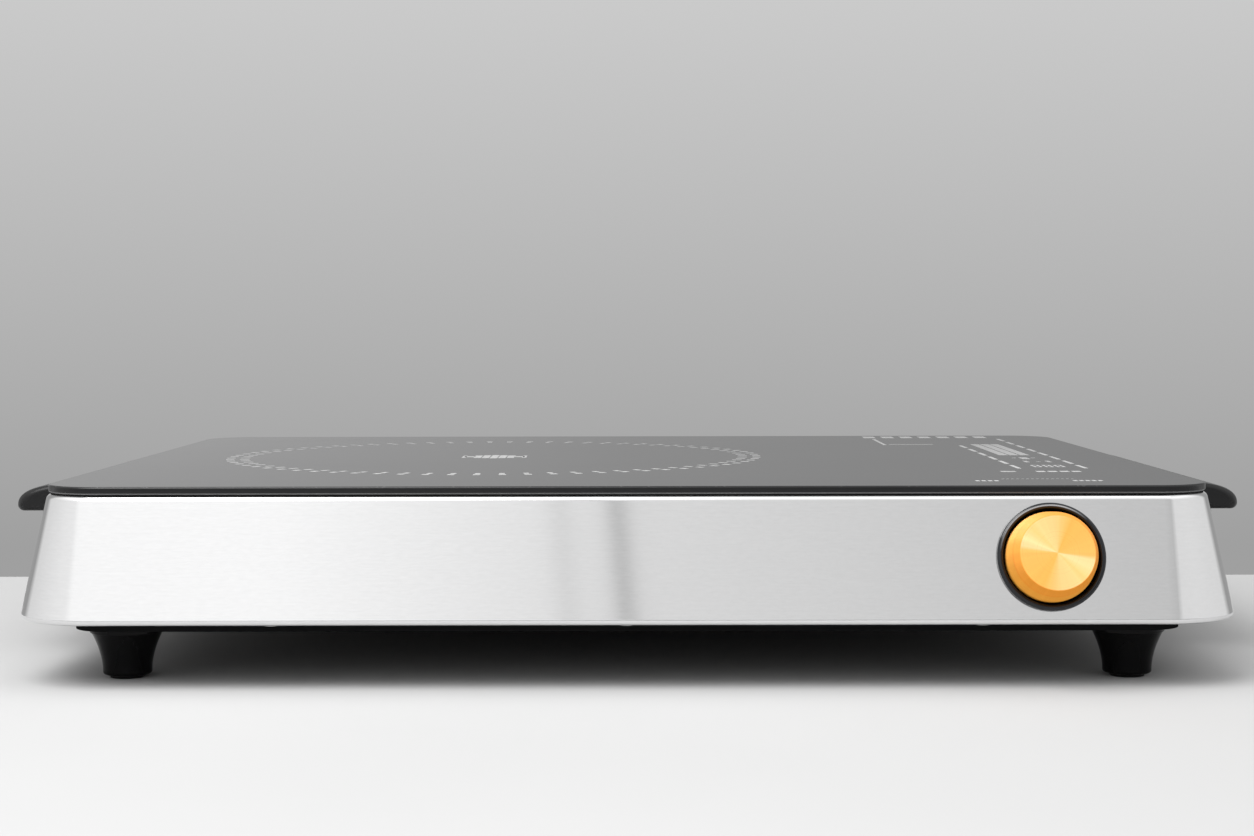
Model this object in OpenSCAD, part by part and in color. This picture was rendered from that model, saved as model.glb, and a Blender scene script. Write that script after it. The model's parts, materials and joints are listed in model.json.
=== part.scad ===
// Countertop induction cooktop with a folded steel housing, a glass top, two side
// handles and a push-and-turn knob. Millimetres, +Z up, +Y towards the back.
// The origin is on the table, under the middle of the glass.

/* [Glass top] */
// Width of the glass plate
glass_w = 366; // [340:1:400]
// Depth of the glass plate
glass_d = 290; // [280:1:320]
// Thickness of the glass plate
glass_t = 2.5; // [2.4:0.1:3.2]
// Corner radius of the glass plate in plan
glass_corner = 18; // [14:1:24]

/* [Housing] */
// Height of the glass surface above the table
total_h = 62.5; // [62:0.5:66]
// Height of the lower edge of the steel housing above the table
skirt_z = 20.3; // [20:0.1:21]
// How far each steel wall leans out over its height
wall_flare = 9; // [7:0.5:10]
// Thickness of the sheet steel
sheet_t = 1; // [0.8:0.1:1.2]
// Height of the underside of the base pan above the table
pan_z = 16.3; // [16:0.1:16.6]
// Number of columns of exhaust holes in the rear wall
vent_count = 21; // [9:2:23]

/* [Handles] */
// Length of each side handle
handle_len = 165; // [140:1:200]
// Half of the overall width, measured to the handle tips
handle_reach = 207; // [205:1:222]
// Height of the flat underside of each handle
handle_z = 49.7; // [48:0.1:50]

/* [Knob] */
// Sideways place of the knob
knob_x = 130.4; // [120:0.1:134]
// Height of the knob centre on the front wall
knob_z = 40.8; // [39:0.1:41]
// Diameter of the knob at its base
knob_d = 28; // [27:0.1:28.8]
// How far the knob stands out of the front wall
knob_reach = 11.3; // [9.5:0.1:12]
// Outer diameter of the bezel ring
bezel_d = 33.5; // [33:0.1:34]

/* [Coil and fan] */
// Sideways place of the cooking zone
zone_x = -50; // [-52:1:-48]
// Front-to-back place of the cooking zone
zone_y = 5; // [4:1:6]
// Outer radius of the copper winding
winding_r = 82; // [78:1:83]
// Outer size of the square fan frame
fan_size = 92; // [90:1:92]
// Number of fan blades
blade_count = 7; // [5:1:9]

/* [Feet] */
// Sideways distance from the middle to each foot
foot_x = 160; // [158:1:161]
// Front-to-back distance from the middle to each foot
foot_y = 123; // [121:1:124]
// Diameter of the foot where it meets the base pan
foot_top_d = 23.5; // [21:0.5:24]

/* [Hidden] */
$fn = 48;
EPS = 0.01;
// clearance that keeps parts of one body from sharing a face by accident
GAP = 0.05;

// screws, their holes in bosses and their clearance holes in plates
post_bore_r = 1.5;
screw_r = post_bore_r - GAP;
screw_head_r = 3;
screw_head_h = 1.8;
clear_r = 1.8;

// housing
glass_z = total_h - glass_t;
gasket_t = 0.3;
steel_z = glass_z - gasket_t;
shell_w = glass_w / 2;
shell_d = glass_d / 2 + 0.5;
wall_slope = wall_flare / (steel_z - skirt_z);
wall_tilt = atan(wall_slope);
shell_corner = 17;
top_bend = 2.2;
skirt_bend = 1.6;
top_flange = 11.5;
skirt_flange = 12;
bend_steps = 5;
corner_steps = 9;
// half width and half depth of the outer steel surface at a height
function wall_w(z) = shell_w + wall_slope * (steel_z - z);
function wall_d(z) = shell_d + wall_slope * (steel_z - z);

// base pan
pan_t = 2.5;
pan_w = 175.5;
pan_d = 137;
pan_corner = 12;
pan_floor = pan_z + pan_t;
rim_z = skirt_z + sheet_t + GAP;
rim_t = 2;
rim_gap = 1.6;
rim_w = wall_w(rim_z) - sheet_t - rim_gap;
rim_d = wall_d(rim_z) - sheet_t - rim_gap;
rim_corner = 24;
foot_boss_r = 6;
small_boss_r = 4;

// screws that hold the pan to the housing
pan_screw_x = 185;
pan_screw_y = 145.3;
pan_screw_head_r = 2.6;
pan_screw_head_h = 0.8;
PAN_SCREWS = [for (x = [-110, 0, 110], s = [-1, 1]) [x, s * pan_screw_y],
              for (y = [-70, 70], s = [-1, 1]) [s * pan_screw_x, y]];

// feet
foot_h = pan_z;
foot_low_d = foot_top_d * 0.66;
foot_low_z = 2.4;
foot_collar_z = foot_h - 1.7;
foot_flare_power = 1.8;
foot_head_z = 6;
foot_head_r = 4;
foot_head_h = 2.6;
pad_d = 11;
pad_proud = 0.8;
pad_t = 2.3;
foot_bore = 2.1;
FEET = [for (x = [-foot_x, foot_x], y = [-foot_y, foot_y]) [x, y]];

// handles
handle_top = 58.6;
handle_nose_z = 51.5;
handle_nose_r = 1.8;
handle_crown_x = 190;
crown_power = 2.3;
handle_end_r = 4.5;
handle_screw_y = 55;
handle_screw_z = 53.5;

// knob, measured along its own axis from the front wall
bezel_floor = -4;
bezel_floor_t = 1.4;
bezel_proud = 2;
bezel_inner_r = 14.75;
bezel_barrel_r = 15.65;
barrel_hole_r = 15.7;
knob_base = -1.4;
knob_cavity_r = 9;
knob_cavity_top = 7.6;
knob_face_r = knob_d / 2 * 0.82;
knob_side_r = knob_d / 2 * 0.905;
core_base = 0.7;
shaft_r = 3;
shaft_bore_r = 3.05;
shaft_low = -9.2;
bushing_r = 3.5;
bushing_top = -0.6;
encoder_front = bezel_floor - 0.1;
encoder_back = -10.6;
encoder_size = 12;
rotor_r = 5.2;
rotor_low = -8.4;
rotor_h = 1.4;
chamber_r = 5.5;
knob_front_y = wall_d(knob_z) + knob_reach * cos(wall_tilt) + knob_face_r * sin(wall_tilt);

// exhaust holes in the rear wall
vent_pitch = 6;
vent_r = 1.7;
vent_x = -20;
vent_z = 41;

// mains inlet on the rear wall
gland_x = -130;
gland_z = 38;
gland_bore_r = 3.6;
gland_r = 6.5;
gland_flange_r = 10;
gland_nut_r = 11;
gland_inner_y = 139;
gland_tip_y = knob_front_y;
gland_grooves = [158.4, 161];
groove_w = 1.2;
groove_depth = 0.8;

// fan
fan_x = 105;
fan_y = -50;
fan_h = 25;
fan_duct_r = fan_size / 2 - 2;
fan_pitch = fan_size - 10;
blade_r = fan_duct_r - 1.6;
hub_r = 17;
fan_shaft_r = 1.5;
fan_bearing_r = 3;
fan_bearing_z = 3;
fan_post_r = 4;
fan_plate_r = 14;
fan_arm_w = 5;
fan_arm_t = 2.4;
fan_gap = 4;
blade_t = 1.6;
blade_twist = 38;
fan_top = pan_floor + fan_h;
FAN_HOLES = [for (x = [-1, 1], y = [-1, 1]) [fan_x + x * fan_pitch / 2, fan_y + y * fan_pitch / 2]];

// coil
former_z = 52;
former_t = 2;
winding_z = former_z + former_t;
winding_h = 3.6;
post_r = 5;
post_ring = 93;
LEADS = [[-25, -75], [25, -75]];
COIL_POSTS = [for (a = [0:90:270]) [zone_x + post_ring * cos(a), zone_y + post_ring * sin(a)]];

// power board
board_x0 = -146;
board_x1 = 46;
board_y0 = -128;
board_y1 = -18;
board_z = pan_floor + 5;
board_t = 1.6;
board_top = board_z + board_t;
BOARD_POSTS = [for (x = [board_x0 + 6, board_x1 - 6], y = [board_y0 + 5, board_y1 - 5]) [x, y]];

// control board under the glass
bracket_x0 = 98;
bracket_x1 = 172;
bracket_y0 = -124;
bracket_y1 = 130;
bracket_z = 50.4;
bracket_t = 1.6;
control_z = bracket_z + bracket_t;
control_top = control_z + board_t;
BRACKET_POSTS = [[106, -108], [164, -104], [106, 124], [164, 104]];
KEYS = [for (y = [-112, 118], x = [112, 126]) [x, y]];

// ---- shared shapes ----

// flat rounded rectangle, centred
module rounded_plan(w, d, r) {
  square([w - 2 * r, d], center = true);
  square([w, d - 2 * r], center = true);
  for (x = [-1, 1], y = [-1, 1])
    translate([x * (w / 2 - r), y * (d / 2 - r)]) circle(r);
}

module rounded_plate(w, d, r, h) {
  linear_extrude(h) rounded_plan(w, d, r);
}

module box_between(low, high) {
  translate(low) cube(high - low);
}

module tube(r_out, r_in, h) {
  difference() {
    cylinder(r = r_out, h = h);
    translate([0, 0, -EPS]) cylinder(r = r_in, h = h + 2 * EPS);
  }
}

// pan-head screw: the head's underside is at z = 0 and the shank points down
module screw(r, length, head_r, head_h) {
  translate([0, 0, -length]) cylinder(r = r, h = length + EPS);
  difference() {
    cylinder(r = head_r, h = head_h);
    for (a = [0, 90])
      rotate([0, 0, a]) translate([-head_r * 0.55, -0.35, head_h * 0.5])
        cube([head_r * 1.1, 0.7, head_h]);
  }
}

// places children on a wall, with their +Z pointing straight out of it
module on_front(x, z) {
  translate([x, -wall_d(z), z]) rotate([90 - wall_tilt, 0, 0]) children();
}

// places children on the rear wall, with their +Z pointing straight out of it
module on_rear(x, z) {
  mirror([0, 1, 0]) on_front(x, z) children();
}

module on_right(y, z) {
  translate([wall_w(z), y, z]) rotate([0, 90 - wall_tilt, 0]) children();
}

module on_knob() {
  on_front(knob_x, knob_z) children();
}

// everything inside the plane of the rear wall, moved out by a distance
module behind_rear_wall(out) {
  on_rear(0, gland_z) translate([-220, -60, out - 60]) cube([440, 120, 60]);
}

// ---- housing ----

// one closed ring of points around the housing; d widens it from the glass outline
function corner_point(d, z, quarter, step) =
  let (r = shell_corner + d,
       a = 90 * quarter + 90 * step / corner_steps,
       sx = (quarter == 0 || quarter == 3) ? 1 : -1,
       sy = quarter < 2 ? 1 : -1)
  [sx * (shell_w + d - r) + r * cos(a), sy * (shell_d + d - r) + r * sin(a), z];
function ring_points(d, z) =
  [for (q = [0:3], s = [0:corner_steps]) corner_point(d, z, q, s)];

// centres of the two bends, as [distance out from the glass outline, height]
TOP_CENTRE = [-top_bend * (1 - sin(wall_tilt)) / cos(wall_tilt), steel_z - top_bend];
SKIRT_CENTRE = [((steel_z - skirt_z - skirt_bend) * sin(wall_tilt) - skirt_bend) / cos(wall_tilt),
                skirt_z + skirt_bend];
function bend(centre, r, from, to) =
  [for (i = [0:bend_steps])
    let (a = from + (to - from) * i / bend_steps)
    [centre[0] + r * cos(a), centre[1] + r * sin(a)]];
SECTION = concat(
  [[-top_flange, steel_z]],
  bend(TOP_CENTRE, top_bend, 90, wall_tilt),
  bend(SKIRT_CENTRE, skirt_bend, wall_tilt, -90),
  [[wall_flare - skirt_flange, skirt_z], [wall_flare - skirt_flange, skirt_z + sheet_t]],
  bend(SKIRT_CENTRE, skirt_bend - sheet_t, -90, wall_tilt),
  bend(TOP_CENTRE, top_bend - sheet_t, wall_tilt, 90),
  [[-top_flange, steel_z - sheet_t]]);

module shell_sheet() {
  rings = len(SECTION);
  around = 4 * (corner_steps + 1);
  points = [for (p = SECTION) each ring_points(p[0], p[1])];
  faces = [for (i = [0:rings - 1], j = [0:around - 1])
    let (a = i * around + j,
         b = i * around + (j + 1) % around,
         c = ((i + 1) % rings) * around + (j + 1) % around,
         d = ((i + 1) % rings) * around + j)
    each [[a, c, b], [a, d, c]]];
  polyhedron(points, faces);
}

module housing_shell() {
  color("silver") difference() {
    shell_sheet();
    on_knob() translate([0, 0, -5]) cylinder(r = barrel_hole_r, h = 10);
    for (column = [0:vent_count - 1], row = [-1:1])
      on_rear(vent_x + (column - (vent_count - 1) / 2) * vent_pitch, vent_z + row * vent_pitch)
        cylinder(r = vent_r, h = 8, center = true);
    translate([gland_x, gland_inner_y, gland_z]) rotate([-90, 0, 0])
      cylinder(r = gland_r + GAP, h = 24);
    for (s = [0, 1], y = [-1, 1])
      mirror([s, 0, 0]) on_right(y * handle_screw_y, handle_screw_z)
        translate([0, 0, -4]) cylinder(r = clear_r, h = 8);
    for (p = PAN_SCREWS) translate([p[0], p[1], skirt_z - 1]) cylinder(r = clear_r, h = 3);
  }
}

module glass_panel() {
  color([0.05, 0.05, 0.06]) translate([0, 0, glass_z])
    rounded_plate(glass_w, glass_d, glass_corner, glass_t);
}

module glass_gasket() {
  color([0.02, 0.02, 0.02]) translate([0, 0, steel_z]) linear_extrude(gasket_t) difference() {
    rounded_plan(glass_w - 1, glass_d - 1, glass_corner - 0.5);
    rounded_plan(glass_w - 18, glass_d - 18, glass_corner - 8);
  }
}

// ---- base pan ----

grille_r = [10, 16, 22, 28, 34, 40];
grille_slot = 3.4;

// rings of slots under the fan, cut by spokes
module fan_grille() {
  translate([fan_x, fan_y, pan_z - 1]) difference() {
    union() for (r = grille_r) tube(r + grille_slot / 2, r - grille_slot / 2, pan_t + 2);
    for (a = [0:30:150]) rotate([0, 0, a]) translate([-50, -1.5, -1]) cube([100, 3, pan_t + 4]);
  }
}

module floor_slots() {
  for (x = [-140:8:-68], y = [40, 80])
    translate([x, y, pan_z - 1]) linear_extrude(pan_t + 2) {
      square([3, 25], center = true);
      for (s = [-1, 1]) translate([0, s * 12.5]) circle(1.5);
    }
}

module boss(at, r, top) {
  translate([at[0], at[1], pan_floor - EPS]) cylinder(r = r, h = top - pan_floor + EPS);
}

module bore(at, r, low, high) {
  translate([at[0], at[1], low]) cylinder(r = r, h = high - low);
}

module base_pan() {
  color([0.09, 0.09, 0.1]) difference() {
    union() {
      difference() {
        union() {
          translate([0, 0, pan_z])
            rounded_plate(2 * pan_w, 2 * pan_d, pan_corner, rim_z + rim_t - pan_z);
          translate([0, 0, rim_z]) rounded_plate(2 * rim_w, 2 * rim_d, rim_corner, rim_t);
        }
        translate([0, 0, pan_floor])
          rounded_plate(2 * (pan_w - pan_t), 2 * (pan_d - pan_t), pan_corner - pan_t, 30);
      }
      for (p = FEET) boss(p, foot_boss_r, pan_floor + 6);
      for (p = BOARD_POSTS) boss(p, small_boss_r, board_z);
      for (p = COIL_POSTS) boss(p, post_r, former_z);
      for (p = BRACKET_POSTS) boss(p, small_boss_r, bracket_z);
    }
    fan_grille();
    floor_slots();
    for (p = FEET) bore(p, foot_bore, pan_z - 1, pan_floor + 5);
    for (p = BOARD_POSTS) bore(p, post_bore_r, pan_floor, board_z + 1);
    for (p = COIL_POSTS) bore(p, post_bore_r, former_z - 14, former_z + 1);
    for (p = BRACKET_POSTS) bore(p, post_bore_r, bracket_z - 14, bracket_z + 1);
    for (p = FAN_HOLES) bore(p, post_bore_r, pan_z - 1, pan_floor + 1);
    for (p = PAN_SCREWS) bore(p, post_bore_r, rim_z - 1, rim_z + rim_t + 1);
  }
}

module base_screws() {
  color("gray") for (p = PAN_SCREWS)
    translate([p[0], p[1], skirt_z]) rotate([180, 0, 0])
      screw(screw_r, sheet_t + rim_t + 2, pan_screw_head_r, pan_screw_head_h);
}

// ---- feet ----

// flared outline of a foot, from its lower edge up to its collar
function foot_curve(u) =
  foot_low_d / 2 + (foot_top_d - foot_low_d) / 2 * pow(u, foot_flare_power);
FOOT_SIDE = [for (i = [0:10])
  [foot_curve(i / 10), foot_low_z + (foot_collar_z - foot_low_z) * i / 10]];
FOOT_OUTLINE = concat(
  [[0, pad_proud], [pad_d / 2 + 0.6, pad_proud], [foot_low_d / 2 - 0.9, 1.4]],
  FOOT_SIDE,
  [[foot_top_d / 2, foot_h], [0, foot_h]]);

module foot(i) {
  color([0.06, 0.06, 0.07]) translate([FEET[i][0], FEET[i][1], 0]) difference() {
    rotate_extrude() polygon(FOOT_OUTLINE);
    translate([0, 0, -1]) cylinder(r = pad_d / 2, h = 1 + pad_t);
    cylinder(r = foot_head_r + 0.1, h = foot_head_z);
    cylinder(r = foot_bore, h = foot_h + 1);
  }
}

module foot_front_left() { foot(0); }
module foot_rear_left() { foot(1); }
module foot_front_right() { foot(2); }
module foot_rear_right() { foot(3); }

module foot_pads() {
  color([0.15, 0.15, 0.15]) for (p = FEET) translate([p[0], p[1], 0])
    cylinder(r = pad_d / 2 - GAP, h = pad_t - GAP);
}

module foot_screws() {
  color("gray") for (p = FEET) translate([p[0], p[1], foot_head_z]) rotate([180, 0, 0])
    screw(foot_bore - GAP, foot_h + 1, foot_head_r, foot_head_h);
}

// ---- handles ----

// cross-section of a handle: x outwards, y upwards
function crown_z(u) = handle_nose_z + (handle_top - handle_nose_z)
  * pow(1 - pow(u, crown_power), 1 / crown_power);
HANDLE_SECTION = concat(
  [[wall_w(handle_z) + GAP, handle_z], [wall_w(handle_top) + GAP, handle_top]],
  [for (i = [0:12]) let (u = sin(90 * i / 12))
    [handle_crown_x + (handle_reach - handle_crown_x) * u, crown_z(u)]],
  [for (i = [1:5]) let (a = -90 * i / 5)
    [handle_reach - handle_nose_r + handle_nose_r * cos(a),
     handle_nose_z + handle_nose_r * sin(a)]]);

module handle() {
  intersection() {
    rotate([90, 0, 0]) translate([0, 0, -handle_len / 2])
      linear_extrude(handle_len) polygon(HANDLE_SECTION);
    translate([handle_reach - 30, 0, 0])
      rounded_plate(60, handle_len, handle_end_r, 80);
  }
}

module handle_with_bores() {
  difference() {
    handle();
    for (y = [-1, 1]) on_right(y * handle_screw_y, handle_screw_z)
      translate([0, 0, -1]) cylinder(r = post_bore_r, h = 11);
  }
}

module handle_right() {
  color([0.08, 0.08, 0.08]) handle_with_bores();
}

module handle_left() {
  color([0.08, 0.08, 0.08]) mirror([1, 0, 0]) handle_with_bores();
}

module handle_screws() {
  color("gray") for (s = [0, 1], y = [-1, 1])
    mirror([s, 0, 0]) on_right(y * handle_screw_y, handle_screw_z)
      translate([0, 0, -sheet_t - GAP]) mirror([0, 0, 1])
        screw(screw_r, 9, screw_head_r, screw_head_h);
}

// ---- mains inlet ----

module cord_gland() {
  color([0.05, 0.05, 0.05]) difference() {
    union() {
      translate([gland_x, gland_inner_y, gland_z]) rotate([-90, 0, 0])
        cylinder(r = gland_r, h = gland_tip_y - gland_inner_y);
      difference() {
        translate([gland_x, gland_inner_y, gland_z]) rotate([-90, 0, 0])
          cylinder(r = gland_flange_r, h = 16);
        behind_rear_wall(GAP);
      }
    }
    translate([gland_x, gland_inner_y - 1, gland_z]) rotate([-90, 0, 0])
      cylinder(r = gland_bore_r, h = 30);
    for (y = gland_grooves)
      translate([gland_x, y, gland_z]) rotate([-90, 0, 0])
        tube(gland_r + 1, gland_r - groove_depth, groove_w);
  }
}

module gland_nut() {
  color([0.12, 0.12, 0.12]) intersection() {
    difference() {
      translate([gland_x, gland_inner_y + 3, gland_z]) rotate([-90, 0, 0])
        cylinder(r = gland_nut_r, h = 12, $fn = 6);
      translate([gland_x, gland_inner_y - 1, gland_z]) rotate([-90, 0, 0])
        cylinder(r = gland_r + GAP, h = 24);
    }
    behind_rear_wall(-sheet_t - GAP);
  }
}

// ---- knob ----

module knob_cap() {
  color([0.95, 0.68, 0.28]) on_knob() difference() {
    rotate_extrude() polygon([
      [0, knob_base], [knob_d / 2 - 0.3, knob_base], [knob_d / 2, knob_base + 0.3],
      [knob_d / 2, 0.8], [knob_side_r + 0.25, knob_reach - 3.6], [knob_side_r, knob_reach - 2.8],
      [knob_face_r + 0.15, knob_reach - 0.1], [knob_face_r, knob_reach], [0, knob_reach]]);
    translate([0, 0, knob_base - 1]) cylinder(r = knob_cavity_r, h = knob_cavity_top - knob_base + 1);
  }
}

// round bore with one flat side
module d_shape(r, low, high) {
  difference() {
    translate([0, 0, low]) cylinder(r = r, h = high - low);
    translate([-r - 1, r - 1.5, low - 1]) cube([2 * r + 2, 4, high - low + 2]);
  }
}

module knob_core() {
  color([0.1, 0.1, 0.1]) on_knob() difference() {
    translate([0, 0, core_base]) cylinder(r = knob_cavity_r - GAP, h = knob_cavity_top - core_base);
    d_shape(shaft_r + GAP, core_base - 1, 7);
  }
}

module knob_bezel() {
  color([0.03, 0.03, 0.03]) on_knob() difference() {
    rotate_extrude() polygon(concat(
      [[bushing_r + 0.1, bezel_floor], [bezel_barrel_r, bezel_floor], [bezel_barrel_r, GAP],
       [bezel_d / 2, GAP], [bezel_d / 2, bezel_proud - 1]],
      [for (a = [0:15:90]) [bezel_d / 2 - 1 + cos(a), bezel_proud - 1 + sin(a)]],
      [for (a = [90:-15:0]) [bezel_inner_r + 0.6 - 0.6 * sin(a), bezel_proud - 0.6 + 0.6 * cos(90 - a)]],
      [[bezel_inner_r, bezel_floor + bezel_floor_t],
       [bushing_r + 0.1, bezel_floor + bezel_floor_t]]));
  }
}

module encoder_body() {
  color([0.6, 0.6, 0.62]) on_knob() difference() {
    union() {
      translate([-encoder_size / 2, -encoder_size / 2, encoder_back])
        cube([encoder_size, encoder_size, encoder_front - encoder_back]);
      translate([0, 0, encoder_front - EPS]) cylinder(r = bushing_r, h = bushing_top - encoder_front);
    }
    translate([0, 0, encoder_back + 0.6]) cylinder(r = shaft_r + 0.3, h = 3);
    translate([0, 0, rotor_low - 0.2]) cylinder(r = chamber_r, h = rotor_h + 0.4);
    translate([0, 0, rotor_low]) cylinder(r = shaft_bore_r, h = 12);
  }
}

module encoder_rotor() {
  color([0.8, 0.7, 0.3]) on_knob() translate([0, 0, rotor_low])
    tube(rotor_r, shaft_bore_r, rotor_h);
}

module encoder_shaft() {
  color([0.7, 0.7, 0.7]) on_knob() {
    translate([0, 0, shaft_low]) cylinder(r = shaft_r, h = core_base - shaft_low);
    d_shape(shaft_r, core_base - EPS, 6.9);
  }
}

module encoder_nut() {
  color([0.7, 0.7, 0.72]) on_knob() translate([0, 0, bezel_floor + bezel_floor_t])
    difference() {
      cylinder(r = 5.5, h = 1.6, $fn = 6);
      translate([0, 0, -1]) cylinder(r = bushing_r + GAP, h = 4);
    }
}

module encoder_board() {
  color([0.1, 0.35, 0.2]) on_knob() translate([-17, -11, encoder_back - board_t])
    cube([34, 22, board_t]);
}

// ---- fan ----

module fan_frame() {
  color([0.05, 0.05, 0.05]) translate([fan_x, fan_y, pan_floor]) difference() {
    union() {
      difference() {
        rounded_plate(fan_size, fan_size, 5, fan_h);
        translate([0, 0, -1]) cylinder(r = fan_duct_r, h = fan_h + 2);
        for (a = [0:90:270]) rotate([0, 0, a])
          translate([fan_size / 2 - 3.5, -32, fan_gap]) cube([5, 64, fan_h - 2 * fan_gap]);
      }
      cylinder(r = fan_plate_r, h = fan_arm_t);
      cylinder(r = fan_post_r, h = 15);
      for (a = [45:90:315]) rotate([0, 0, a]) translate([10, -fan_arm_w / 2, 0])
        cube([fan_duct_r - 8, fan_arm_w, fan_arm_t]);
    }
    translate([0, 0, fan_bearing_z]) cylinder(r = fan_bearing_r, h = 20);
    for (x = [-1, 1], y = [-1, 1]) translate([x * fan_pitch / 2, y * fan_pitch / 2, -1])
      cylinder(r = 2.2, h = fan_h + 2);
  }
}

module fan_stator() {
  color([0.7, 0.4, 0.2]) translate([fan_x, fan_y, pan_floor + fan_bearing_z]) difference() {
    cylinder(r = fan_plate_r - 1, h = 9);
    translate([0, 0, -1]) cylinder(r = fan_post_r + GAP, h = 12);
    for (a = [0:90:270]) rotate([0, 0, a + 45]) translate([6, -1, -1]) cube([10, 2, 12]);
  }
}

module fan_bearing() {
  color([0.75, 0.6, 0.3]) translate([fan_x, fan_y, pan_floor + fan_bearing_z + GAP])
    tube(fan_bearing_r - GAP, fan_shaft_r + 0.04, 12 - GAP);
}

module fan_shaft() {
  color([0.8, 0.8, 0.8]) translate([fan_x, fan_y, pan_floor + 3.4])
    cylinder(r = fan_shaft_r, h = 17.6);
}

module fan_rotor() {
  color([0.07, 0.07, 0.07]) translate([fan_x, fan_y, pan_floor]) {
    difference() {
      translate([0, 0, fan_gap]) cylinder(r = hub_r, h = fan_h - 6);
      translate([0, 0, fan_gap - 1]) cylinder(r = hub_r - 2, h = fan_h - 7);
    }
    translate([0, 0, 17]) tube(3.2, fan_shaft_r + 0.02, fan_h - 20.5);
    intersection() {
      translate([0, 0, fan_gap]) tube(blade_r, hub_r - 0.5, fan_h - 6);
      for (i = [0:blade_count - 1]) rotate([0, 0, 360 * i / blade_count])
        translate([hub_r - 1, 0, fan_gap + (fan_h - 6) / 2]) rotate([blade_twist, 0, 0])
          translate([0, -18, -blade_t / 2]) cube([blade_r, 36, blade_t]);
    }
  }
}

module fan_screws() {
  color("gray") for (p = FAN_HOLES) translate([p[0], p[1], fan_top])
    screw(screw_r, fan_h + 2, screw_head_r, screw_head_h);
}

// ---- coil ----

module on_zone(z) {
  translate([zone_x, zone_y, z]) children();
}

ferrite_w = 9;
ferrite_h = 5;
ferrite_in = 22;
ferrite_out = 80;

module coil_former() {
  color([0.85, 0.82, 0.72]) on_zone(former_z) difference() {
    union() {
      cylinder(r = winding_r + 4, h = former_t);
      for (a = [0:90:270]) rotate([0, 0, a]) {
        translate([post_ring, 0, 0]) cylinder(r = 6, h = former_t);
        translate([winding_r, -6, 0]) cube([post_ring - winding_r, 12, former_t]);
      }
      translate([0, 0, former_t - EPS]) tube(winding_r + 4, winding_r + 2, 2.4);
      translate([0, 0, former_t - EPS]) tube(20, 18, 2.4);
    }
    translate([0, 0, -1]) cylinder(r = 9, h = 6);
    for (p = LEADS) translate([p[0], p[1], -1]) cylinder(r = 2.4, h = 5);
    for (a = [0:90:270]) rotate([0, 0, a]) translate([post_ring, 0, -1])
      cylinder(r = clear_r, h = 5);
  }
}

// one winding section: a flat annulus whose top shows each turn as a ridge
module winding_section(r_in, r_out, turns) {
  pitch = (r_out - r_in) / turns;
  tops = [for (i = [turns - 1:-1:0]) each [
    [r_in + (i + 0.75) * pitch, winding_h], [r_in + (i + 0.25) * pitch, winding_h],
    [r_in + i * pitch, winding_h - 0.9]]];
  rotate_extrude() polygon(concat([[r_in, 0], [r_out, 0], [r_out, winding_h - 0.9]], tops));
}

module induction_coil() {
  color([0.75, 0.4, 0.2]) on_zone(winding_z + GAP) {
    winding_section(22, 48, 9);
    winding_section(54, winding_r, 10);
    for (a = [20, 200]) rotate([0, 0, a]) translate([47, -1.6, 0])
      cube([8, 3.2, winding_h - 1]);
  }
}

module ferrite_bars() {
  color([0.2, 0.2, 0.22]) on_zone(former_z - ferrite_h - GAP) for (a = [30:60:330])
    rotate([0, 0, a]) translate([ferrite_in, -ferrite_w / 2, 0])
      cube([ferrite_out - ferrite_in, ferrite_w, ferrite_h]);
}

terminal_h = 6;

module coil_leads() {
  color([0.7, 0.15, 0.1]) on_zone(board_top) for (p = LEADS) translate([p[0], p[1], 0]) {
    cylinder(r = 3.5, h = terminal_h);
    cylinder(r = 2, h = winding_z - board_top);
  }
}

module coil_screws() {
  color("gray") for (p = COIL_POSTS) translate([p[0], p[1], former_z + former_t])
    screw(screw_r, 12, screw_head_r, screw_head_h);
}

module mica_sheet() {
  color([0.8, 0.75, 0.6]) on_zone(winding_z + winding_h + 0.4) tube(winding_r + 3, 8, 0.6);
}

module sensor_holder() {
  color([0.85, 0.85, 0.82]) on_zone(former_z - 4) difference() {
    union() {
      cylinder(r = 7, h = 10);
      cylinder(r = 12, h = 3.9);
    }
    translate([0, 0, 4]) cylinder(r = 4, h = 8);
  }
}

module pan_sensor() {
  color([0.8, 0.8, 0.8]) on_zone(former_z) cylinder(r = 3.9, h = glass_z - former_z - GAP);
}

// ---- power board ----

module power_board() {
  color([0.1, 0.4, 0.2]) difference() {
    box_between([board_x0, board_y0, board_z], [board_x1, board_y1, board_top]);
    for (p = BOARD_POSTS) bore(p, clear_r, board_z - 1, board_top + 1);
    bore([zone_x, zone_y - post_ring], 7, board_z - 1, board_top + 1);
  }
}

module board_screws() {
  color("gray") for (p = BOARD_POSTS) translate([p[0], p[1], board_top])
    screw(screw_r, 5, screw_head_r, screw_head_h);
}

sink_x0 = -18;
sink_x1 = 38;
sink_y0 = -100;
sink_y1 = -40;
sink_top = 44;
fin_pitch = 4.5;

module heatsink() {
  color([0.75, 0.75, 0.77]) {
    box_between([sink_x0, sink_y0, board_top], [sink_x1, sink_y1, board_top + 4]);
    for (y = [sink_y0:fin_pitch:sink_y1 - 1.5])
      box_between([sink_x0, y, board_top + 3.9], [sink_x1, y + 1.4, sink_top]);
  }
}

// flat-backed part that stands on its legs against the heatsink
module power_package(x0, x1, height, legs) {
  back = sink_y0 - GAP;
  box_between([x0, back - 5, board_top + 3], [x1, back, board_top + 3 + height]);
  for (i = [0:legs - 1])
    translate([x0 + (x1 - x0) * (i + 0.5) / legs - 0.6, back - 3.1, board_top])
      cube([1.2, 0.8, 3.1]);
}

module power_transistor() {
  color([0.1, 0.1, 0.1]) power_package(-17, -1, 15, 3);
}

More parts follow.
